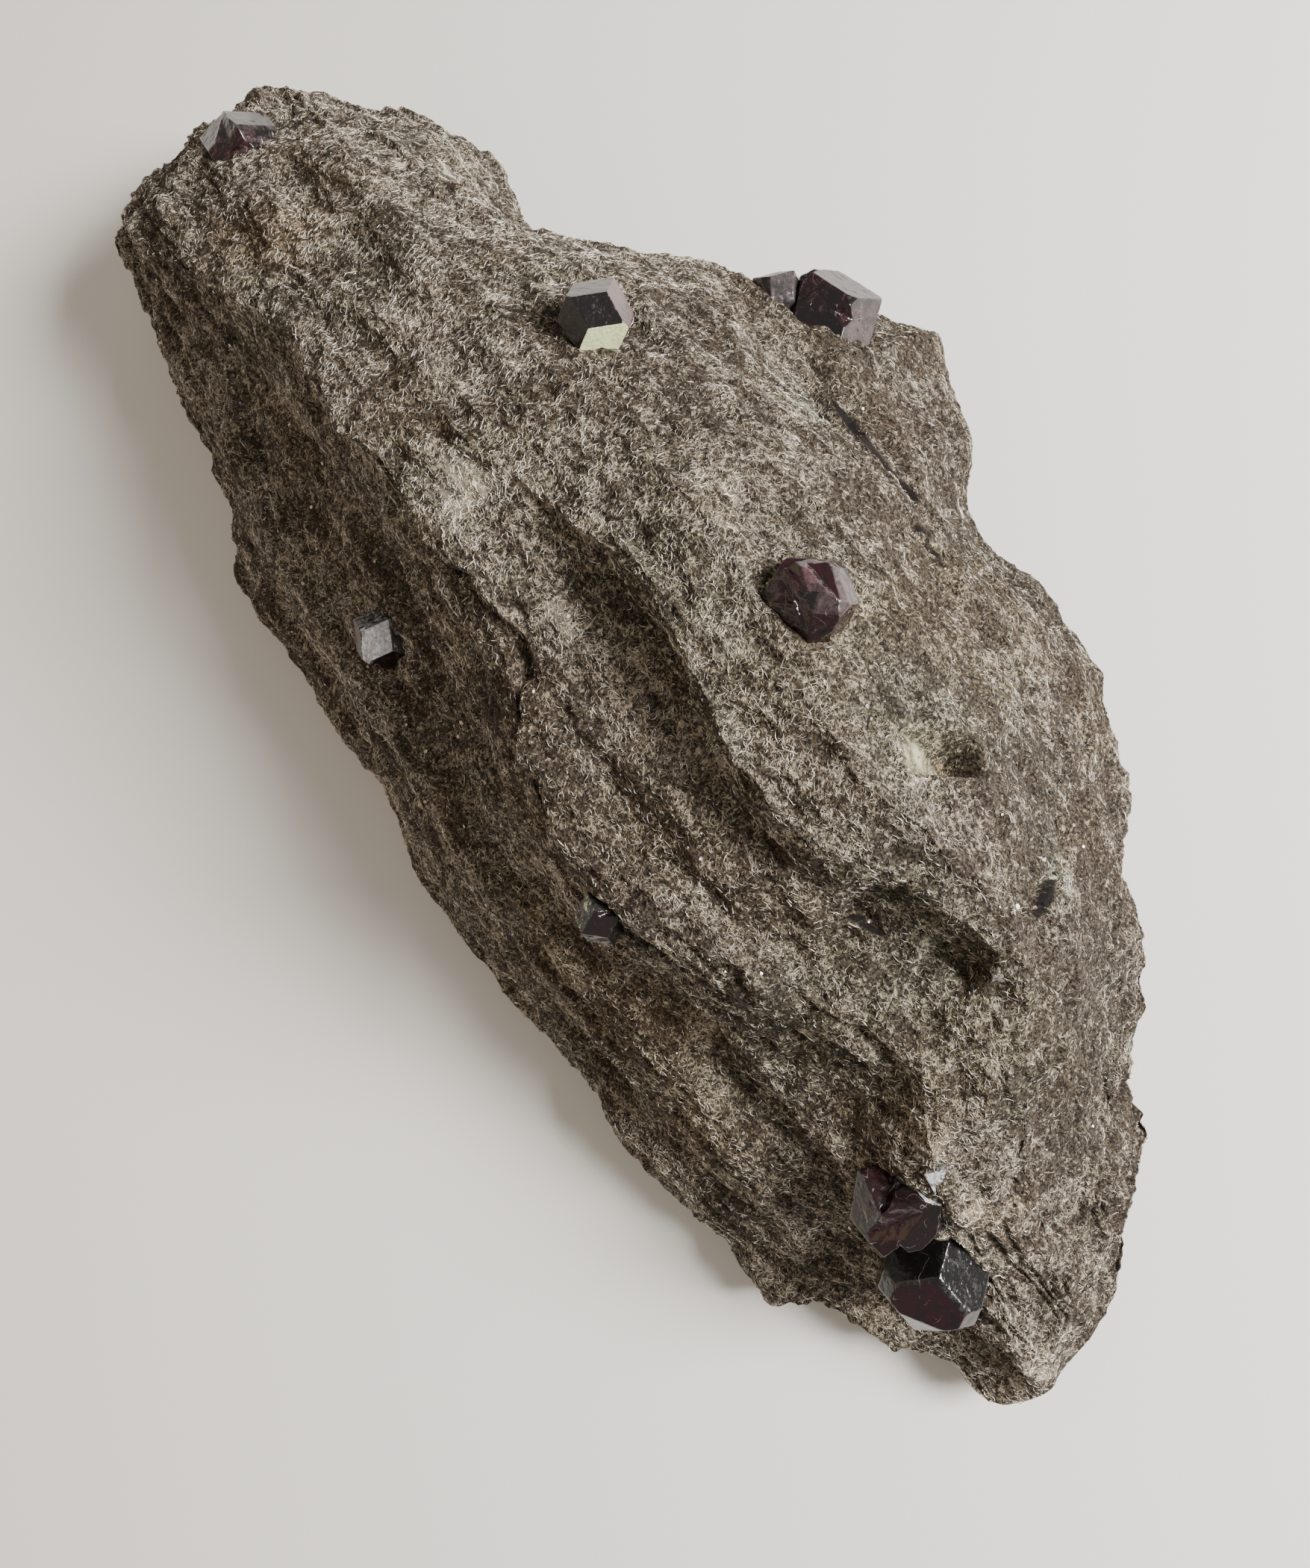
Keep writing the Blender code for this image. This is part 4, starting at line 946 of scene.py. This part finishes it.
def garnet_points(crystal, spacing, rounding):
    """Every face is a fan of rings between its middle and its outline.  Each point is then drawn in
    along its own line from the centre to where the faces' distances, softened near the edges, meet."""
    centre, faces, reach, names = crystal_planes(crystal)
    points, triangles, face_number = [], [], []
    used = 0
    for number in range(len(reach)):
        corners = ordered_corners(faces, reach, number)
        if corners is None:
            continue
        edge = np.roll(corners, -1, axis=0) - corners
        counts = np.maximum(2, np.round(np.linalg.norm(edge, axis=1) / spacing).astype(int))
        rim = np.concatenate([corners[i] + edge[i] * (np.arange(n) / n)[:, None]
                              for i, n in enumerate(counts)])
        middle = corners.mean(axis=0)
        rings = max(3, int(np.linalg.norm(rim - middle, axis=1).max() / spacing))
        share = (1 - (1 - np.arange(1, rings + 1) / rings) ** RING_CROWDING)[:, None, None]
        fan = middle + (rim - middle) * share
        around = len(rim)
        index = used + 1 + np.arange(rings * around).reshape(rings, around)
        beside = np.roll(index, -1, axis=1)
        hub = np.stack([np.full(around, used), index[0], beside[0]], axis=-1)
        first = np.stack([index[:-1], index[1:], beside[1:]], axis=-1).reshape(-1, 3)
        second = np.stack([index[:-1], beside[1:], beside[:-1]], axis=-1).reshape(-1, 3)
        points.append(np.concatenate([middle[None], fan.reshape(-1, 3)]))
        triangles.append(np.concatenate([hub, first, second]))
        face_number.append(np.full(1 + rings * around, number))
        used += 1 + rings * around
    points = np.concatenate(points)
    triangles = np.concatenate(triangles)
    face_number = np.concatenate(face_number)
    ray = points / np.linalg.norm(points, axis=1, keepdims=True)
    closeness = np.maximum(ray @ faces.T, 1e-3) / reach
    sharp = 1.0 / rounding
    soft = (closeness ** sharp).sum(axis=1) ** (1 / sharp)
    return centre, ray, 1.0 / soft, triangles, face_number, names


def notched(ray, distance, crystal, looks, seed):
    """Distances with two-walled notches broken out, and how far inside a notch each point lies.  A
    notch is all that lies beyond both of its walls, which lean apart from the notch's own direction."""
    _, faces, reach, _ = crystal_planes(crystal)
    random = np.random.default_rng(seed)
    toward = np.array(looks.get("broken_side", (0.25, 0.1, 1.0)))
    surface = distance.copy()
    for _ in range(looks["notches"]):
        axis = toward / np.linalg.norm(toward) + random.normal(0.0, BREAK_STRAY, 3)
        axis /= np.linalg.norm(axis)
        slant = np.cross(axis, random.normal(0.0, 1.0, 3))
        slant /= np.linalg.norm(slant)
        lean = random.uniform(0.35, 0.95)
        apex = (reach / np.maximum(faces @ axis, 1e-3)).min() * (1 - looks["bite"] * random.uniform(0.4, 1.0))
        walls = np.stack([axis + lean * slant, axis - lean * random.uniform(0.4, 1.2) * slant])
        walls /= np.linalg.norm(walls, axis=1, keepdims=True)
        meets = apex * (walls @ axis) / np.maximum(ray @ walls.T, 1e-3)
        surface = np.minimum(surface, meets.max(axis=1))
    return surface, distance - surface


def garnet_piece(name, crystal, looks, material, seed):
    """One garnet with notches, ripples and small chips worn into it and a look kept for every face."""
    centre, ray, distance, triangles, face_number, names = garnet_points(
        crystal, GARNET_SPACING, GARNET_ROUNDING)
    distance, broken = notched(ray, distance, crystal, looks, seed)
    place = ray * distance[:, None] + centre
    ripple = (lattice_noise(place / RIPPLE_LENGTHS[0], 61)
              + 0.6 * lattice_noise(place / RIPPLE_LENGTHS[1], 62))
    chip = np.clip(lattice_noise(place / CHIP_LENGTH, 63) - 0.4, 0.0, 1.0)
    distance = (distance - RIPPLE_DEPTH * ripple - CHIP_DEPTH * chip * looks["bite"] * CHIPS_PER_BITE
                - ROUGH_BREAK_DEPTH * (broken > 0.02) * ripple)
    place = ray * distance[:, None] + centre
    table = np.array([looks["faces"].get(face, looks["other"]) for face in names], float)
    shade = np.where(broken[:, None] > 0.04, np.array(looks["inside"], float), table[face_number])
    key = np.round(place, 4)
    _, keep, back = np.unique(key, axis=0, return_index=True, return_inverse=True)
    corners = back.ravel()[triangles]
    whole = np.all(np.diff(np.sort(corners, axis=1), axis=1) > 0, axis=1)
    labels = ("paleness", "redness", "chlorite_and_reflection", "mica")
    values = {label: shade[keep, i] for i, label in enumerate(labels)}
    return mesh_piece(name, place[keep], corners[whole], material, smooth=True, values=values)


# Looks of the faces as (paleness, redness, chlorite and reflection, mica), each from 0 to 1: paleness from
# black to grey, redness from grey to wine red, how green the face is, from chlorite skins and, on the
# green-faced garnet's (1, 0, 1) face, from a painted reflection, and how much is skinned with silvery mica.
# Notches bite into the crystal by up to that share, mostly on its broken side.
GARNET_LOOKS = {
    "end_garnet": {
        "faces": {(0, 1, 1): (0.45, 0.2, 0.0, 0.05), (1, 1, 2): (0.45, 0.3, 0.0, 0.05),
                  (1, 0, 1): (0.35, 0.5, 0.0, 0.05), (0, -1, 1): (0.10, 0.7, 0.0, 0.0)},
        "other": (0.15, 0.5, 0.0, 0.0), "inside": (0.35, 0.7, 0.0, 0.0), "notches": 3, "bite": 0.10},
    "green_faced_garnet": {
        # The pale green of the (1, 0, 1) face is a painted reflection of green surroundings at its mirror
        # angle.
        "faces": {(1, 1, 0): (0.12, 0.1, 0.0, 0.0), (1, 0, 1): (0.9, 0.0, 1.0, 0.0),
                  (0, 1, 1): (0.0, 0.1, 0.0, 0.0), (1, 0, -1): (0.6, 0.8, 0.0, 0.0),
                  (0, 1, -1): (0.2, 0.2, 0.0, 0.0)},
        "other": (0.0, 0.2, 0.0, 0.0), "inside": (0.1, 0.3, 0.0, 0.0), "notches": 0, "bite": 0.03},
    "edge_garnet_small": {
        "faces": {(-1, 0, 1): (0.3, 0.2, 0.0, 0.1)},
        "other": (0.6, 0.1, 0.0, 0.05), "inside": (0.1, 0.5, 0.0, 0.0), "notches": 1, "bite": 0.10},
    "edge_garnet_large": {
        "faces": {(0, 1, 1): (0.20, 0.35, 0.0, 0.0), (1, 0, 1): (0.35, 0.5, 0.0, 0.05),
                  (1, 1, 0): (0.65, 0.1, 0.0, 0.1), (-1, 1, 0): (0.4, 0.1, 0.1, 0.0)},
        "other": (0.2, 0.3, 0.0, 0.0), "inside": (0.2, 0.6, 0.0, 0.0), "notches": 3, "bite": 0.10},
    "broken_garnet": {
        "faces": {(0, 1, 1): (0.5, 0.8, 0.0, 0.1), (-1, 1, 2): (0.35, 0.35, 0.0, 0.0),
                  (1, 1, 2): (0.6, 0.3, 0.0, 0.05), (1, 0, 1): (0.6, 0.25, 0.0, 0.05),
                  (1, 2, 1): (0.65, 0.25, 0.0, 0.1), (-1, 2, 1): (0.35, 0.9, 0.0, 0.0),
                  (0, 0, 1): (0.45, 0.4, 0.0, 0.0)},
        "other": (0.0, 0.7, 0.0, 0.0), "inside": (0.0, 1.0, 0.0, 0.05), "notches": 9, "bite": 0.17,
        "broken_side": (-0.7, -0.35, 0.9)},
    "flank_garnet": {
        "faces": {(0, -1, 1): (0.9, 0.0, 0.0, 1.0), (1, 0, 1): (0.9, 0.1, 0.0, 0.35),
                  (-1, -1, 0): (0.5, 0.4, 0.0, 0.0)},
        "other": (0.0, 0.4, 0.0, 0.0), "inside": (0.6, 0.1, 0.0, 0.8), "notches": 3, "bite": 0.22},
    "shelf_garnet": {
        "faces": {(0, -1, 1): (0.0, 0.3, 0.0, 0.0), (-1, -1, 0): (0.5, 0.0, 0.3, 0.0),
                  (-1, 0, 1): (0.35, 0.05, 0.0, 0.0)},
        "other": (0.1, 0.2, 0.0, 0.0), "inside": (0.0, 0.4, 0.0, 0.0), "notches": 1, "bite": 0.12},
    "twin_garnet_upper": {
        "faces": {(-1, -1, 0): (0.55, 0.0, 0.0, 0.1), (-1, 0, 1): (0.0, 0.3, 0.0, 0.0),
                  (0, 1, 1): (1.0, 0.0, 0.0, 0.95), (-1, 1, 2): (1.0, 0.0, 0.0, 0.8)},
        "other": (0.0, 0.3, 0.0, 0.0), "inside": (0.0, 0.8, 0.0, 0.10), "notches": 5, "bite": 0.28,
        "broken_side": (-0.4, -0.5, 1.0)},
    "twin_garnet_lower": {
        "faces": {(1, 0, 1): (0.0, 0.0, 0.05, 0.0), (0, 1, 1): (0.20, 0.0, 0.0, 0.05),
                  (1, 2, 1): (0.35, 0.0, 0.0, 0.10), (1, 1, 0): (0.0, 0.9, 0.0, 0.0),
                  (1, 1, -1): (0.45, 0.1, 0.0, 0.05), (1, 0, 0): (0.1, 0.0, 0.0, 0.0),
                  (0, 1, 0): (0.35, 0.3, 0.0, 0.10)},
        "other": (0.05, 0.2, 0.0, 0.0), "inside": (0.1, 0.8, 0.0, 0.0), "notches": 0, "bite": 0.06},
}


def garnet_finish():
    """Glossy crystal from black through dark wine red to grey-mauve, crossed by thin pale fractures,
    with skins of yellow-green chlorite and silvery mica; the same pale green also paints a reflection on one
    face."""
    finish = Finish("almandine", IOR=1.6)
    paleness = finish.kept("paleness")
    cloud = finish.noise(1.3, 3.0, 0.65)
    redness = finish.kept("redness") * cloud.between(0.30, 0.52)
    fleck = finish.noise(0.30, 2.0, 0.6)
    black = finish.blend(redness, (0.005, 0.005, 0.005), (0.018, 0.003, 0.005))
    grey = finish.blend(redness, (0.105, 0.096, 0.097), (0.155, 0.070, 0.076))
    pale = (paleness + (cloud - 0.5) * 1.1 + (fleck - 0.5) * 0.4).between(0.25, 1.0)
    colour = finish.blend(pale, black, grey)
    colour = finish.blend(fleck.between(0.64, 0.72) * (pale + 0.15) * 0.5, colour, (0.26, 0.17, 0.16))
    fracture = finish.squiggles(3.4, 0.004, (0.0, 0.0, 0.0)) * cloud.between(0.48, 0.60)
    colour = finish.blend(fracture * 0.4, colour, (0.42, 0.32, 0.29))
    ragged = (fleck - 0.5) * 0.9 + (cloud - 0.5) * 0.5
    silver = (finish.kept("mica") + ragged).between(0.42, 0.62)
    # Pale green: chlorite skins, and on the green-faced garnet's (1, 0, 1) face a painted reflection.
    green = (finish.kept("chlorite_and_reflection") + ragged).between(0.36, 0.50)
    silver_tones = finish.blend(fleck.between(0.3, 0.7), (0.22, 0.21, 0.21), (0.72, 0.72, 0.76))
    green_skin_and_reflection_tones = finish.blend(fleck.between(0.3, 0.7), (0.50, 0.57, 0.24), (0.86, 0.89, 0.57))
    colour = finish.blend(silver, colour, silver_tones)
    colour = finish.blend(green, colour, green_skin_and_reflection_tones)
    finish.feed("Base Color", colour)
    finish.feed("Roughness", 0.16 + pale * 0.22 + silver * 0.2 + green * 0.45)
    finish.bump(fleck * 0.4 + cloud * 0.4 + fracture * 0.2 + silver * fleck * 0.5, 0.07)
    return finish.material


def mica_plate(material):
    """The silvery plate: a thin closed slab with three sides."""
    top = np.array(MICA_PLATE)
    across = np.cross(top[1] - top[0], top[2] - top[0])
    under = top + across / np.linalg.norm(across) * MICA_PLATE_THICKNESS
    faces = [(0, 2, 1), (3, 4, 5), (0, 1, 4), (0, 4, 3), (1, 2, 5), (1, 5, 4), (2, 0, 3), (2, 3, 5)]
    values = {label: np.full(6, share) for label, share in
              (("paleness", 0.9), ("redness", 0.0), ("chlorite_and_reflection", 0.0), ("mica", 0.6))}
    mesh_piece("mica_plate", np.concatenate([top, under]), faces, material, smooth=False,
               values=values)


def all_garnets(material):
    """Every garnet crystal; the ones that have grown together stand for one solid."""
    nodes = {single: name for name, pair in GROWN_TOGETHER.items() for single in pair}
    for seed, (name, crystal) in enumerate(CRYSTALS.items(), start=301):
        piece = garnet_piece(name + "_faces", crystal, GARNET_LOOKS[name], material, seed)
        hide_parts(nodes.get(name, name))


# ---------------------------------------------------------------- light, floor and camera

def stand_and_light():
    """A pale paper floor, even light from the sky, a window and a weak warm fill from the other side."""
    floor_mesh = bpy.data.meshes.new("floor")
    half = FLOOR_HALF_WIDTH
    floor_mesh.from_pydata([(-half, -half, 0), (half, -half, 0), (half, half, 0), (-half, half, 0)], [],
                           [(0, 1, 2, 3)])
    floor = bpy.data.objects.new("floor", floor_mesh)
    bpy.context.collection.objects.link(floor)
    paper = Finish("floor_paper", Base_Color=(0.84, 0.82, 0.78, 1.0), Roughness=0.9)
    floor_mesh.materials.append(paper.material)
    world = bpy.data.worlds.new("room")
    bpy.context.scene.world = world
    world.use_nodes = True
    sky = world.node_tree.nodes["Background"]
    sky.inputs["Color"].default_value = SKY_COLOUR
    sky.inputs["Strength"].default_value = SKY_STRENGTH
    for name, towards, size, power, colour in LIGHTS:
        light = bpy.data.lights.new(name, "AREA")
        light.energy = power
        light.size = size
        light.color = colour
        lamp = bpy.data.objects.new(name, light)
        bpy.context.collection.objects.link(lamp)
        direction = Vector(towards).normalized()
        lamp.location = direction * LIGHT_DISTANCE
        lamp.rotation_euler = direction.to_track_quat("Z", "Y").to_euler()


def set_camera():
    """Camera at its place, looking at its target, with its up direction as near as it can be."""
    shift = Vector((CENTRE_X, CENTRE_Y, 0.0))
    place = (Vector(CAMERA_PLACE) - shift) * MM
    target = (Vector(CAMERA_TARGET) - shift) * MM
    back = (place - target).normalized()
    right = Vector(CAMERA_UP).cross(back).normalized()
    upward = back.cross(right)
    lens = bpy.data.cameras.new("camera")
    lens.lens = CAMERA_LENS
    lens.sensor_width = FRAME_LONG_SIDE
    lens.clip_start = 0.005
    camera = bpy.data.objects.new("camera", lens)
    camera.matrix_world = Matrix.Translation(place) @ Matrix((right, upward, back)).transposed().to_4x4()
    bpy.context.collection.objects.link(camera)
    bpy.context.scene.camera = camera


needles = needle_finish()
skin = stone_skin(SKIN_STATIONS, SKIN_STEPS_ACROSS, SKIN_UNDERSIDE_STEPS)
for half in stone_pieces(skin):
    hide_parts("matrix")
patches = mottling(skin[0])[0]
felted = 0.35 + 0.85 * patches
for number in range(MATS_OF_FELT):
    felt_mat(skin, felted, number, needles)
mica_scatter(skin, 0.3 + (1 - patches))
almandine = garnet_finish()
all_garnets(almandine)
mica_plate(almandine)
stand_and_light()
set_camera()
